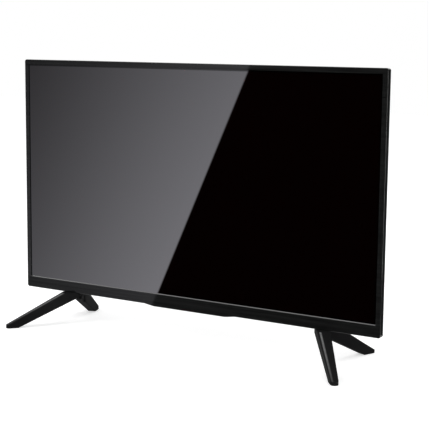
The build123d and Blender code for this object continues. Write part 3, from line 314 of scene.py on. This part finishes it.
def rubber():
    """Matt black rubber with a dusty bloom."""
    m = Material("dark_rubber")
    colour = (0.012, 0.012, 0.012)
    m.paint(m.drift(colour, shaded(colour, 2.2), scale=160.0, detail=4.0, low=0.4, high=0.8))
    m.sheen(0.72, 0.9, scale=60.0)
    return m.relief(m.noise(1500.0, detail=2.0), strength=0.3, depth=0.00003)


def bezel_plastic():
    """Dark plastic with a fine hairline along x."""
    m = Material("bezel_hairline", ior=1.27)
    hair = m.noise(300.0, detail=3.0, rough=0.7, stretch=(0.035, 1.0, 4.0))
    broad = m.noise(90.0, detail=3.0, rough=0.6, stretch=(0.06, 1.0, 3.0))
    tone = m.math("ADD", m.math("MULTIPLY", hair, 0.4), m.math("MULTIPLY", broad, 0.6))
    m.paint(m.mix(m.remap(tone, 0.36, 0.64), (0.0038, 0.0040, 0.0040), (0.0150, 0.0154, 0.0152)))
    m.polish(m.remap(hair, 0.3, 0.7, 0.035, 0.085))
    m.relief(hair, strength=0.05, depth=0.00001)
    return m.relief(m.noise(25.0, detail=2.0), strength=0.03, depth=0.00004)


def foot_plastic():
    """Satin black plastic, with a painted highlight: a lighter grey band along the crest of the front legs
    that fades towards the toes.
    """
    m = Material("foot_plastic", ior=1.22, Specular_IOR_Level=0.006)
    base = m.drift((0.0105, 0.0105, 0.0108), (0.0152, 0.0152, 0.0155),
                   scale=9.0, detail=4.0, low=0.35, high=0.65)
    # Grey of the painted highlight along the crest of the front legs
    highlight_grey = (0.2, 0.2, 0.2)
    crest_half, crest_end, fade_start = 0.0009, 0.0024, 0.07
    start, finish = spot(*CREST_TOP), spot(*CREST_TOE)
    along = (finish - start).normalized()
    place = m.node("ShaderNodeCombineXYZ")
    for value, socket in zip((m.math("ABSOLUTE", m.x), m.y, m.z), place.inputs):
        m.link(value, socket)
    gap = m.vector("SUBTRACT", place.outputs[0], start)
    away = m.vector("LENGTH", m.vector("CROSS_PRODUCT", gap, along), output="Value")
    travel = m.vector("DOT_PRODUCT", gap, along, output="Value")
    # Painted highlight: a band round the crest line, fading towards the toe and broken up by noise, mixed
    # over the base colour
    crest = m.remap(away, crest_half, crest_end, 1.0, 0.0)
    fade = m.remap(travel, fade_start, (finish - start).length, 1.0, 0.25)
    highlight_breakup = m.remap(m.noise(160.0), 0.25, 0.6, 0.6, 1.0)
    painted_highlight = m.math("MULTIPLY", crest, m.math("MULTIPLY", fade, highlight_breakup))
    m.paint(m.mix(painted_highlight, base, highlight_grey))
    m.sheen(0.26, 0.38, scale=38.0, detail=5.0, rough=0.6)
    m.relief(m.noise(900.0, detail=2.0, rough=0.7), strength=0.35, depth=0.00001)
    return m.relief(m.noise(100.0, detail=2.0), strength=0.12, depth=0.00002)


def screen_glass():
    """Dark display glass: a black border, then the faint cell grid of the picture area."""
    m = Material("screen_glass", ior=1.6)
    border, pitch = 0.0022, 0.00051
    half = OPENING_WIDTH / 2 * MM
    low = (OPENING_LOW + STAND) * MM
    high = low + OPENING_HEIGHT * MM
    edge_x = m.math("SUBTRACT", half, m.math("ABSOLUTE", m.x))
    edge_z = m.math("MINIMUM", m.math("SUBTRACT", m.z, low), m.math("SUBTRACT", high, m.z))
    inside = m.above(m.math("MINIMUM", edge_x, edge_z), border, soft=0.0001)
    grid = m.math("MULTIPLY", m.repeat(m.x, pitch, share=0.8), m.repeat(m.z, pitch, share=0.86))
    cell = m.mix(grid, (0.0009, 0.0002, 0.0002), (0.0017, 0.0003, 0.0003))
    m.paint(m.mix(inside, (0.0002, 0.0002, 0.0002), cell))
    m.polish(m.remap(m.noise(5.0, detail=5.0, rough=0.6, warp=0.8), 0.3, 0.75, 0.012, 0.035))
    return m.relief(m.noise(3.0, detail=1.0), strength=0.02, depth=0.0004)


def infrared_filter():
    """Glossy plastic that looks black with a trace of red."""
    m = Material("infrared_filter", roughness=0.09)
    m.paint(m.drift((0.006, 0.001, 0.0015), (0.014, 0.002, 0.003), scale=160.0))
    return m.relief(m.noise(220.0, detail=2.0), strength=0.05, depth=0.00002)


def optical_film():
    """Pearly film with fine prism lines."""
    m = Material("optical_film", roughness=0.35)
    m.paint(m.mix(m.repeat(m.z, pitch=0.0004, share=0.5), (0.78, 0.79, 0.8), (0.86, 0.87, 0.88)))
    return m.relief(m.noise(900.0, detail=2.0, stretch=(0.1, 1, 4)), strength=0.1, depth=0.00002)


def milk_plate():
    """Milky plate of the diffuser."""
    m = Material("milk_plate", ior=1.49)
    m.paint(m.drift((0.8, 0.8, 0.79), (0.87, 0.87, 0.86), scale=14.0))
    return m.relief(m.noise(1100.0, detail=2.0), strength=0.15, depth=0.00003)


def reflector_foam():
    """White foamed sheet with a fine cell structure."""
    m = Material("reflector_foam", roughness=0.75, ior=1.45)
    m.paint(m.drift((0.8, 0.8, 0.8), (0.9, 0.9, 0.89), scale=320.0, detail=4.0, low=0.35, high=0.65))
    return m.relief(m.cells(1600.0), strength=0.25, depth=0.00004)


def lens_acrylic():
    """Clear acrylic of the lamp lenses."""
    m = Material("lens_acrylic", roughness=0.06, ior=1.49, Transmission_Weight=0.9)
    m.paint(m.drift((0.93, 0.94, 0.95), (1.0, 1.0, 1.0), scale=300.0))
    return m.relief(m.noise(180.0, detail=1.0), strength=0.05, depth=0.00004)


def amber_film():
    """Amber film with copper lines side by side."""
    m = Material("amber_film", roughness=0.3, ior=1.55)
    lines = m.repeat(m.x, pitch=0.0006, share=0.45)
    m.paint(m.mix(lines, (0.33, 0.13, 0.025), (0.5, 0.27, 0.08)))
    return m.relief(lines, strength=0.2, depth=0.00002)


def ribbon_film():
    """White ribbon with grey conductors side by side."""
    m = Material("ribbon_film", roughness=0.42)
    lines = m.repeat(m.z, pitch=0.001, share=0.55)
    m.paint(m.mix(lines, (0.72, 0.72, 0.7), (0.42, 0.43, 0.45)))
    return m.relief(lines, strength=0.3, depth=0.00005)


def ferrite_and_tape():
    """Grey ferrite core at the ends, yellow tape over the winding between them."""
    m = Material("ferrite_and_tape")
    from_middle = m.math("ABSOLUTE", m.math("SUBTRACT", m.x, TRANSFORMER_X * MM))
    grain = m.remap(m.noise(600.0, detail=4.0), 0.3, 0.7)
    tape = m.mix(grain, (0.5, 0.33, 0.03), (0.6, 0.42, 0.05))
    core = m.mix(grain, (0.018, 0.018, 0.018), (0.05, 0.05, 0.052))
    m.paint(m.mix(m.math("GREATER_THAN", from_middle, TAPE_HALF * MM), tape, core))
    return m.relief(m.noise(500.0), strength=0.3, depth=0.00005)


def capacitor_sleeve():
    """Dark blue shrunk sleeve with an uncovered aluminium top."""
    m = Material("capacitor_sleeve")
    rim = 0.2
    top = m.above(m.y, (BOARD_FACE + CAPACITOR_LENGTH + FRONT - rim) * MM)
    sleeve = m.drift((0.012, 0.014, 0.03), (0.02, 0.024, 0.05), scale=70.0)
    m.paint(m.mix(top, sleeve, (0.7, 0.7, 0.72))).metal(top)
    m.sheen(0.22, 0.4, scale=240.0)
    return m.relief(m.noise(500.0, detail=2.0), strength=0.1, depth=0.00002)


def socket_shell():
    """Plated steel shell of a socket."""
    m = Material("socket_shell", metallic=1.0)
    m.paint(m.drift((0.5, 0.5, 0.5), (0.72, 0.71, 0.69), scale=350.0, detail=4.0, low=0.35))
    m.sheen(0.22, 0.36, scale=120.0)
    return m.relief(m.noise(800.0, detail=2.0, stretch=(8, 1, 1)), strength=0.1, depth=0.00002)


def tuner_can():
    """Plated can of the tuner with the fine thread of its socket."""
    m = Material("tuner_can", metallic=1.0)
    m.paint(m.drift((0.5, 0.5, 0.5), (0.72, 0.72, 0.71), scale=180.0, detail=4.0, low=0.35))
    m.sheen(0.25, 0.42, scale=60.0)
    return m.relief(m.repeat(m.z, pitch=0.0008, share=0.5), strength=0.06, depth=0.00003)


def inlet_and_pins():
    """Black moulding of the mains inlet, and its two metal pins, told apart by their place."""
    m = Material("inlet_and_pins")
    height = m.math("ABSOLUTE", m.math("SUBTRACT", m.z, (INLET_Z + STAND) * MM))
    from_pin = m.radius(m.y, (INLET_DEPTH + FRONT) * MM, height, PIN_OFFSET * MM)
    pin = m.math("LESS_THAN", from_pin, PIN_RADIUS * MM)
    grain = m.remap(m.noise(240.0, detail=4.0), 0.3, 0.7)
    plastic = m.mix(grain, (0.014, 0.014, 0.015), (0.026, 0.026, 0.027))
    plating = m.mix(grain, (0.5, 0.5, 0.5), (0.7, 0.69, 0.67))
    m.paint(m.mix(pin, plastic, plating)).metal(pin)
    m.sheen(0.3, 0.46, scale=120.0)
    return m.relief(m.noise(900.0, detail=2.0, rough=0.7), strength=0.3, depth=0.00003)


def phono_jacks():
    """Red, white and yellow mouldings of the three phono jacks, with plated barrels and collars."""
    m = Material("phono_jacks")
    red, white, yellow = (0.5, 0.015, 0.012), (0.75, 0.75, 0.73), (0.62, 0.5, 0.03)
    half_pitch = JACK_PITCH / 2
    plastic = m.mix(m.math("GREATER_THAN", m.x, (JACK_MIDDLE - half_pitch) * MM), red, white)
    plastic = m.mix(m.math("GREATER_THAN", m.x, (JACK_MIDDLE + half_pitch) * MM), plastic, yellow)
    nearest = m.math("PINGPONG", m.math("SUBTRACT", m.x, JACK_MIDDLE * MM), half_pitch * MM)
    from_axis = m.radius(nearest, 0.0, m.y, (BOARD_FACE + JACK_AXIS + FRONT) * MM)
    outside = m.above(from_axis, JACK_RING * MM, soft=0.00005)
    barrel = m.math("LESS_THAN", m.z, (JACK_COLLAR + STAND) * MM)
    tip = m.math("LESS_THAN", m.z, (JACK_TIP + STAND) * MM)
    plated = m.math("MULTIPLY", barrel, m.math("MAXIMUM", outside, m.math("SUBTRACT", 1.0, tip)))
    m.paint(m.mix(plated, plastic, (0.68, 0.67, 0.66))).metal(plated)
    m.sheen(0.25, 0.4, scale=300.0)
    return m.relief(m.noise(900.0, detail=2.0), strength=0.1, depth=0.00002)


def cone_paper():
    """Pressed black paper of the speaker cones."""
    m = Material("cone_paper", roughness=0.8, ior=1.45)
    m.paint(m.drift((0.02, 0.02, 0.02), (0.05, 0.05, 0.048), scale=240.0, detail=5.0))
    return m.relief(m.noise(700.0, detail=4.0), strength=0.5, depth=0.00006)


def dress(material, *names):
    """Puts one material on CAD nodes."""
    for name in names:
        slots = nodes[name].data.materials
        slots.clear()
        slots.append(material.data)


cover_grain = moulded("cover_grain", (0.0115, 0.0115, 0.012), 0.5, grain=1100.0, depth=0.00012, ior=1.32)
inner_black = moulded("inner_black", (0.02, 0.02, 0.021), 0.5, grain=700.0)
key_plastic = moulded("key_plastic", (0.02, 0.02, 0.021), 0.38, grain=1700.0, depth=0.00005)
speaker_plastic = moulded("speaker_plastic", (0.012, 0.012, 0.013), 0.45, grain=500.0)
dark_rubber = rubber()
zinc = turned_metal("zinc_plate", (0.66, 0.67, 0.69), 0.28)
black_oxide = turned_metal("black_oxide", (0.045, 0.046, 0.05), 0.42)
gold = turned_metal("contact_gold", (0.83, 0.6, 0.25), 0.22)
anodised = lined_metal("black_anodised", 0.42, (0.03, 0.03, 0.033), (0.07, 0.07, 0.075),
                       colour_stretch=(6, 1, 1), relief_stretch=(14, 1, 1))
aluminium = lined_metal("plain_aluminium", 0.36, (0.6, 0.61, 0.62), (0.78, 0.79, 0.8),
                        colour_stretch=(1, 12, 1), relief_stretch=(1, 18, 1))

dress(bezel_plastic(), "front_bezel")
dress(screen_glass(), "lcd_glass")
dress(infrared_filter(), "infrared_window")
dress(cover_grain, "rear_cover")
dress(foot_plastic(), "foot_right", "foot_left")
dress(dark_rubber, "foot_pads")
dress(inner_black, "mid_frame", "headphone_jack", "optical_socket", "lan_socket")
dress(inlet_and_pins(), "mains_inlet")
dress(speaker_plastic, "speaker_left", "speaker_right")
dress(cone_paper(), "speaker_cone_left", "speaker_cone_right")
dress(sheet_steel(), "backlight_tray", "foot_brackets")
dress(zinc, "wall_mount_posts", "board_screws")
dress(circuit("main_circuit", (0.012, 0.085, 0.03), BOARD_FACE), "main_board")
dress(circuit("power_circuit", (0.16, 0.1, 0.03), BOARD_FACE, chips=(0.5, 0.5, 0.46)), "power_board")
dress(circuit("timing_circuit", (0.01, 0.05, 0.09), TIMING_FACE), "timing_board")
dress(circuit("driver_circuit", (0.02, 0.09, 0.05), DRIVER_FACE), "driver_boards")
dress(circuit("small_circuit", (0.015, 0.08, 0.035), SMALL_FACE), "key_board", "receiver_board")
dress(circuit("strip_board", (0.72, 0.72, 0.7), STRIP_FACE), "light_strips")
dress(amber_film(), "panel_flex")
dress(ribbon_film(), "display_ribbon")
dress(optical_film(), "optical_films")
dress(milk_plate(), "diffuser_plate")
dress(reflector_foam(), "reflector_sheet")
dress(lens_acrylic(), "strip_lenses")
dress(anodised, "main_heatsink")
dress(aluminium, "power_heatsink")
dress(ferrite_and_tape(), "transformer")
dress(capacitor_sleeve(), "mains_capacitors")
dress(socket_shell(), "hdmi_sockets", "usb_socket")
dress(phono_jacks(), "av_jacks")
dress(tuner_can(), "aerial_tuner")
dress(insulated("speaker_wire", (0.35, 0.012, 0.012), (0.01, 0.01, 0.01)), "speaker_leads")
dress(insulated("sensor_wire", (0.5, 0.5, 0.48), (0.02, 0.05, 0.2)), "sensor_leads")
dress(insulated("lamp_wire", (0.55, 0.4, 0.02), (0.01, 0.01, 0.01)), "lamp_lead")
dress(insulated("supply_wire", (0.3, 0.01, 0.01), (0.6, 0.6, 0.6)), "supply_lead")
for key in ("power", "source", "menu", "channel_down", "channel_up", "volume_down", "volume_up"):
    dress(key_plastic, key + "_key")


# Screws with a cross recess and rounded rubber mounts, which stand for the plain CAD ones

SEGMENTS = 28
COVER_TURN = 0.4
FOOT_TURN = 0.7
BACKWARDS = (0, 1, 0)
UPWARDS = (0, 0, 1)
DOWNWARDS = (0, 0, -1)


def lathe(profile):
    """Mesh turned about local z from points of radius and height."""
    mesh = bmesh.new()
    angles = [2 * math.pi * k / SEGMENTS for k in range(SEGMENTS)]
    rings = []
    for radius, height in profile:
        places = [(radius * math.cos(angle), radius * math.sin(angle), height) for angle in angles]
        rings.append([mesh.verts.new(place) for place in (places if radius else [(0, 0, height)])])
    for low, high in zip(rings, rings[1:]):
        for k in range(SEGMENTS):
            following = (k + 1) % SEGMENTS
            corners = [low[k % len(low)], low[following % len(low)],
                       high[following % len(high)], high[k % len(high)]]
            mesh.faces.new(list(dict.fromkeys(corners)))
    return mesh


def as_data(mesh, name):
    """Mesh data made from a bmesh."""
    bmesh.ops.recalc_face_normals(mesh, faces=mesh.faces)
    data = bpy.data.meshes.new(name)
    mesh.to_mesh(data)
    mesh.free()
    return data


def as_object(data, name):
    """Object of the scene made from its data."""
    made = bpy.data.objects.new(name, data)
    bpy.context.scene.collection.objects.link(made)
    return made


def screw_form(name, head_radius, head_height, shank_radius, length, pitch):
    """Pan head screw, head up along z from its seat at zero, with a thread and a cross recess."""
    crown = ((0, 1), (0.45, 0.985), (0.75, 0.9), (0.93, 0.68), (1, 0.35), (1, 0))
    radius, height = head_radius * MM, head_height * MM
    profile = [(radius * across, height * up) for across, up in crown]
    profile.append((shank_radius * MM, 0))
    for k in range(int(length / pitch)):
        root = -(k + 0.5) * pitch * MM
        profile += [(shank_radius * 0.84 * MM, root), (shank_radius * 0.99 * MM, root - pitch * 0.5 * MM)]
    profile += [(shank_radius * 0.6 * MM, -length * MM), (0, -length * MM)]
    screw = as_object(as_data(lathe(profile), name), name)
    cross = bmesh.new()
    for turn in (0, 1):
        bar = bmesh.ops.create_cube(cross, size=1.0)["verts"]
        bmesh.ops.scale(cross, vec=(radius * 1.1, radius * 0.22, height * 1.3), verts=bar)
        bmesh.ops.translate(cross, vec=(0, 0, height), verts=bar)
        bmesh.ops.rotate(cross, verts=bar, matrix=Matrix.Rotation(turn * math.pi / 2, 3, "Z"))
    cutter = as_object(as_data(cross, name + "_cutter"), name + "_cutter")
    cut = screw.modifiers.new("recess", "BOOLEAN")
    cut.operation = "DIFFERENCE"
    cut.solver = "EXACT"
    cut.use_self = True
    cut.object = cutter
    bpy.context.view_layer.update()
    evaluated = screw.evaluated_get(bpy.context.evaluated_depsgraph_get())
    form = bpy.data.meshes.new_from_object(evaluated)
    bpy.data.objects.remove(screw)
    bpy.data.objects.remove(cutter)
    return form


def mount_form():
    """Rubber mount, long across y, with a waist, and a rounded top that clears the moving cone."""
    profile = [(0, 0), (2.2, 0), (3.1, -0.25), (3.7, -0.8), (4.0, -1.6), (4.0, -2.5),
               (3.5, -3.0), (3.5, -4.2), (4.0, -4.7), (4.0, -6.74), (0, -6.74)]
    lengthened = 3.0 * MM
    on_axis = 0.1 * MM
    mesh = lathe([(radius * MM, height * MM) for radius, height in profile])
    bmesh.ops.rotate(mesh, verts=mesh.verts, matrix=Matrix.Rotation(math.pi / SEGMENTS, 3, "Z"))
    for vertex in mesh.verts:
        if vertex.co.xy.length > on_axis:
            vertex.co.y += math.copysign(lengthened, vertex.co.y)
    return as_data(mesh, "speaker_mount")


def scatter(name, form, places, node, material):
    """One piece from copies of a form, each set by a point, a direction and a turn."""
    joined = bmesh.new()
    for place, direction, turn in places:
        copy = form.copy()
        tilt = Vector(direction).to_track_quat("Z", "Y").to_matrix().to_4x4()
        copy.transform(Matrix.Translation(place) @ tilt @ Matrix.Rotation(turn, 4, "Z"))
        joined.from_mesh(copy)
        bpy.data.meshes.remove(copy)
    data = bpy.data.meshes.new(name)
    joined.to_mesh(data)
    joined.free()
    data.materials.append(material.data)
    piece = as_object(data, name)
    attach(piece, "television")
    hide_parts(node)


cover_screw = screw_form("cover_screw", head_radius=3.0, head_height=1.8, shank_radius=1.5, length=5.5,
                         pitch=0.7)
foot_screw = screw_form("foot_screw", head_radius=3.8, head_height=2.4, shank_radius=2.0, length=14.0,
                        pitch=0.8)
cover_places = [(x, TOP_SCREWS_Z) for x in TOP_SCREWS_X]
cover_places += [(side * SIDE_SCREWS_X, z) for side in (-1, 1) for z in SIDE_SCREWS_Z]
scatter("rear_cover_screw_set", cover_screw,
        [(spot(x, COVER_BACK, z), BACKWARDS, COVER_TURN * k) for k, (x, z) in enumerate(cover_places)],
        "rear_cover_screws", black_oxide)
scatter("foot_screw_set", foot_screw,
        [(spot(side * FOOT_SCREWS_X, depth, FOOT_SCREWS_Z), DOWNWARDS, FOOT_TURN * k)
         for side in (-1, 1) for k, depth in enumerate(FOOT_SCREWS_DEPTH)],
        "foot_screws", black_oxide)
scatter("speaker_mount_set", mount_form(),
        [(spot(side * x, MOUNTS_DEPTH, MOUNTS_Z), UPWARDS, 0.0) for side in (-1, 1) for x in MOUNTS_X],
        "speaker_grommets", dark_rubber)


# Contacts inside the sockets, in millimetres

HDMI_ENDS = (221.0, 230.6)
HDMI_ROWS = ((10, (38.98, 39.1)), (9, (37.7, 37.82)))
HDMI_HALF = 0.16
USB_ENDS = (219.5, 230.2)
USB_DEPTHS = (39.58, 39.72)
USB_OFFSETS = (-3.5, -1.0, 1.0, 3.5)
USB_HALF = 0.5
NETWORK_BEND = ((37.6, 50.5), (38.6, 51.5), (41.2, 58.0), (41.6, 60.6))
NETWORK_STEPS = range(-7, 8, 2)
NETWORK_STEP = 0.51
NETWORK_RADIUS = 0.16
SHUTTER_PLATE = ((72.1, 37.7, 49.4), (77.9, 43.3, 50.0))
SHUTTER_KNOB = ((73.4, 39.0, 49.2), (76.6, 42.0, 49.5))
BAR_BEVEL = 0.04


def strips(name, boxes, material):
    """One piece of thin bevelled bars, each from its low and high corner in millimetres."""
    mesh = bmesh.new()
    for low, high in boxes:
        bar = bmesh.ops.create_cube(mesh, size=1.0)["verts"]
        a, b = spot(*low), spot(*high)
        bmesh.ops.scale(mesh, vec=b - a, verts=bar)
        bmesh.ops.translate(mesh, vec=(a + b) / 2, verts=bar)
    bmesh.ops.bevel(mesh, geom=mesh.edges[:], offset=BAR_BEVEL * MM, segments=1, affect="EDGES")
    piece = as_object(as_data(mesh, name), name)
    piece.data.materials.append(material.data)
    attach(piece, "television")


def springs(name, routes, radius, material):
    """One piece of round contact wires along points in millimetres."""
    curve = bpy.data.curves.new(name, "CURVE")
    curve.dimensions = "3D"
    curve.bevel_depth = radius * MM
    curve.bevel_resolution = 2
    curve.use_fill_caps = True
    for route in routes:
        line = curve.splines.new("NURBS")
        line.points.add(len(route) - 1)
        for point, place in zip(line.points, route):
            point.co = (*spot(*place), 1)
        line.order_u = 3
        line.use_endpoint_u = True
    curve.materials.append(material.data)
    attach(as_object(curve, name), "television")


def contact_row(ends, depths, heights, half):
    """Flat contacts one above the other, as boxes for strips."""
    return [((ends[0], depths[0], z - half), (ends[1], depths[1], z + half)) for z in heights]


hdmi_contacts = []
for middle in HDMI_Z:
    for count, depths in HDMI_ROWS:
        heights = [middle + k - (count - 1) / 2 for k in range(count)]
        hdmi_contacts += contact_row(HDMI_ENDS, depths, heights, HDMI_HALF)
usb_contacts = contact_row(USB_ENDS, USB_DEPTHS, [USB_Z + offset for offset in USB_OFFSETS], USB_HALF)
network_places = [NETWORK_X + NETWORK_STEP * k for k in NETWORK_STEPS]
network_routes = [[(x, depth, z) for depth, z in NETWORK_BEND] for x in network_places]
strips("hdmi_contacts", hdmi_contacts, gold)
strips("usb_contacts", usb_contacts, gold)
springs("network_contacts", network_routes, NETWORK_RADIUS, gold)
strips("optical_shutter", [SHUTTER_PLATE, SHUTTER_KNOB], inner_black)


# Camera, in metres and degrees, with pixels of the 429 pixel frame

PICTURE = 429.0
FOCAL = 1205.0
SENSOR = 36.0
EYE = Vector((1.102, -1.7185, 0.526))
YAW = math.radians(31.64)
PITCH = math.radians(8.44)
ROLL = math.radians(0.57)

forward = Vector((-math.sin(YAW) * math.cos(PITCH), math.cos(YAW) * math.cos(PITCH), -math.sin(PITCH)))
level_right = Vector((math.cos(YAW), math.sin(YAW), 0))
level_up = level_right.cross(forward)
right = math.cos(ROLL) * level_right + math.sin(ROLL) * level_up
up = math.cos(ROLL) * level_up - math.sin(ROLL) * level_right

camera_data = bpy.data.cameras.new("photo_camera")
camera_data.sensor_fit = "HORIZONTAL"
camera_data.sensor_width = SENSOR
camera_data.lens = FOCAL / PICTURE * SENSOR
camera_data.clip_start = 0.01
camera_data.clip_end = 50.0
camera = as_object(camera_data, "photo_camera")
camera.matrix_world = Matrix((
    (right.x, up.x, -forward.x, EYE.x),
    (right.y, up.y, -forward.y, EYE.y),
    (right.z, up.z, -forward.z, EYE.z),
    (0, 0, 0, 1),
))
bpy.context.scene.camera = camera
bpy.context.scene.view_settings.view_transform = "Standard"


# Slanted edge of the light that the screen mirrors, on a card in front of the set

SCREEN_Y = (GLASS_DEPTH + FRONT) * MM
CARD_Y = -0.20
TOP_PIXEL = (249.6, 67.0)
LOW_PIXEL = (157.5, 293.0)


def seen_at(column, row):
    """Point of the screen's plane that the camera shows at a pixel."""
    middle = PICTURE / 2
    ray = right * ((column - middle) / FOCAL) + up * ((middle - row) / FOCAL) + forward
    return EYE + ray * ((SCREEN_Y - EYE.y) / ray.y)


def on_card(column, row):
    """Point of the card that the screen mirrors at a pixel."""
    eye = Vector((EYE.x, 2 * SCREEN_Y - EYE.y, EYE.z))
    share = (CARD_Y - eye.y) / (SCREEN_Y - eye.y)
    return eye + (seen_at(column, row) - eye) * share


card_top = on_card(*TOP_PIXEL)
card_low = on_card(*LOW_PIXEL)
EDGE_SLOPE = (card_top.x - card_low.x) / (card_top.z - card_low.z)
EDGE_FOOT = card_low.x - card_low.z * EDGE_SLOPE


# Floor, cards and world, in metres

FLOOR_HALF = 6
FLOOR_GLOW = 0.55
WORLD_FILL = 0.55
EDGE_SOFT = 0.002
CARD_TONE = (0.965, 0.955, 1.035, 1)
CARD_STRENGTH = 2.875
SIDE_FADE, SIDE_CURVE = 1.79, 2.51
RISE_FADE, RISE_CURVE = 0.212, 0.361
FOOT_TOP, FOOT_END, FOOT_SHARE = 0.0275, 0.0298, 0.38
HEM_START, HEM_END, HEM_SHARE = 0.4622, 0.4630, 0.35
HEAD_START, HEAD_END, HEAD_SHARE = 0.4648, 0.4652, 2.0
BLACK = (0, 0, 0, 1)
WHITE = (1, 1, 1, 1)
CLOTH = (0.0005, 0.0005, 0.0005, 1)


def seen_ray(tree):
    """1 for a ray from the camera, or one that gloss or glass sends on."""
    path = tree.nodes.new("ShaderNodeLightPath")
    seen = path.outputs["Is Camera Ray"]
    for kind in ("Is Glossy Ray", "Is Transmission Ray"):
        either = tree.nodes.new("ShaderNodeMath")
        either.operation = "MAXIMUM"
        tree.links.new(seen, either.inputs[0])
        tree.links.new(path.outputs[kind], either.inputs[1])
        seen = either.outputs[0]
    return seen


def floor_material():
    """White floor that keeps a soft shadow and reads as white where it is seen."""
    m = Material("studio_floor", roughness=0.8)
    m.paint(m.drift((0.86, 0.86, 0.86), (0.88, 0.88, 0.88), scale=2.0))
    glow = m.node("ShaderNodeEmission")
    m.link(m.math("MULTIPLY", seen_ray(m.tree), FLOOR_GLOW), glow.inputs["Strength"])
    both = m.node("ShaderNodeAddShader")
    m.link(m.shader.outputs[0], both.inputs[0])
    m.link(glow.outputs[0], both.inputs[1])
    m.link(both.outputs[0], m.surface)
    return m


def card_material():
    """Card that the screen mirrors: light up to a slanted edge, fading sideways and upwards, then black.

    The foot, which the chin mirrors, is dimmer. So is the hem at the screen's top, and less so the head
    above it, which the top bezel mirrors: the head's share comes on top of the hem's.
    """
    m = Material("studio_card")
    across = m.math("SUBTRACT", m.x, m.math("MULTIPLY", m.z, EDGE_SLOPE))
    light = m.math("SUBTRACT", 1.0, m.above(across, EDGE_FOOT, EDGE_SOFT))
    from_edge = m.math("SUBTRACT", across, EDGE_FOOT)
    sideways = m.math("SUBTRACT", SIDE_FADE, m.math("MULTIPLY", from_edge, SIDE_CURVE))
    upwards = m.math("ADD", RISE_FADE, m.math("MULTIPLY", m.z, RISE_CURVE))
    power = m.math("SUBTRACT", m.math("MULTIPLY", from_edge, sideways), m.math("MULTIPLY", m.z, upwards))
    level = m.math("MULTIPLY", CARD_STRENGTH, m.math("EXPONENT", power))
    foot = m.remap(m.z, FOOT_TOP, FOOT_END, FOOT_SHARE, 1.0)
    hem = m.remap(m.z, HEM_START, HEM_END, 1.0, HEM_SHARE)
    head = m.remap(m.z, HEAD_START, HEAD_END, 1.0, HEAD_SHARE)
    level = m.math("MULTIPLY", level, m.math("MULTIPLY", foot, m.math("MULTIPLY", hem, head)))
    glow = m.node("ShaderNodeEmission")
    glow.inputs["Color"].default_value = CARD_TONE
    m.link(m.math("MULTIPLY", light, level), glow.inputs["Strength"])
    m.link(glow.outputs[0], m.surface)
    return m


def staged(name, corners, material):
    """Flat stage piece from its corners."""
    data = bpy.data.meshes.new(name)
    data.from_pydata(corners, [], [tuple(range(len(corners)))])
    data.materials.append(material.data)
    made = as_object(data, name)
    return made


def upright(name, first, second, height, material):
    """Stage card on the line between two points of the floor, which only gloss sees."""
    foot = 0.001
    card = staged(name, [(*first, foot), (*second, foot), (*second, height), (*first, height)], material)
    card.visible_camera = False
    card.visible_diffuse = False
    card.visible_transmission = False
    card.visible_shadow = False


floor_corners = [(x * FLOOR_HALF, y * FLOOR_HALF, 0) for x, y in ((-1, -1), (1, -1), (1, 1), (-1, 1))]
edge_glow = Material("edge_card", Base_Color=BLACK, Emission_Color=WHITE, Emission_Strength=26.0)
flag_cloth = Material("flag_cloth", roughness=0.9, Base_Color=CLOTH, Specular_IOR_Level=0.0)
staged("studio_floor", floor_corners, floor_material())
upright("studio_card", (-1.5, CARD_Y), (1.3, CARD_Y), height=0.62, material=card_material())
upright("edge_card", (0.735, -0.71), (1.15, -0.035), height=0.7, material=edge_glow)
upright("black_flag", (0.40, 0.22), (1.35, 0.22), height=0.75, material=flag_cloth)

world = bpy.data.worlds.new("studio")
bpy.context.scene.world = world
world.use_nodes = True
tree = world.node_tree
background = tree.nodes["Background"]
background.inputs["Color"].default_value = WHITE
strength = tree.nodes.new("ShaderNodeMapRange")
strength.inputs["To Min"].default_value = WORLD_FILL
strength.inputs["To Max"].default_value = 1.0
tree.links.new(seen_ray(tree), strength.inputs["Value"])
tree.links.new(strength.outputs[0], background.inputs["Strength"])


# Lamps, in metres and watts

SCREEN_MIDDLE = (0, 0, 0.25)
STRIP_X, STRIP_Y = -0.92, -0.39


def area(name, place, target, width, height, power):
    """Soft rectangular lamp aimed at a point."""
    lamp = bpy.data.lights.new(name, "AREA")
    lamp.shape = "RECTANGLE"
    lamp.size = width
    lamp.size_y = height
    lamp.energy = power
    made = as_object(lamp, name)
    made.location = place
    made.rotation_euler = (Vector(target) - Vector(place)).to_track_quat("-Z", "Y").to_euler()
    return made


area("key_lamp", (-1.3, -2.0, 2.0), SCREEN_MIDDLE, width=1.4, height=1.4, power=26.0)
area("fill_lamp", (2.2, -1.2, 1.6), SCREEN_MIDDLE, width=1.2, height=1.2, power=10.0)
area("back_lamp", (0.6, 2.2, 1.8), SCREEN_MIDDLE, width=1.4, height=1.4, power=18.0)
top_strip = area("top_strip", (STRIP_X, STRIP_Y, 1.5), (STRIP_X, STRIP_Y, 0), width=1.7, height=0.2,
                 power=8.5)
top_strip.visible_diffuse = False

bpy.context.view_layer.update()
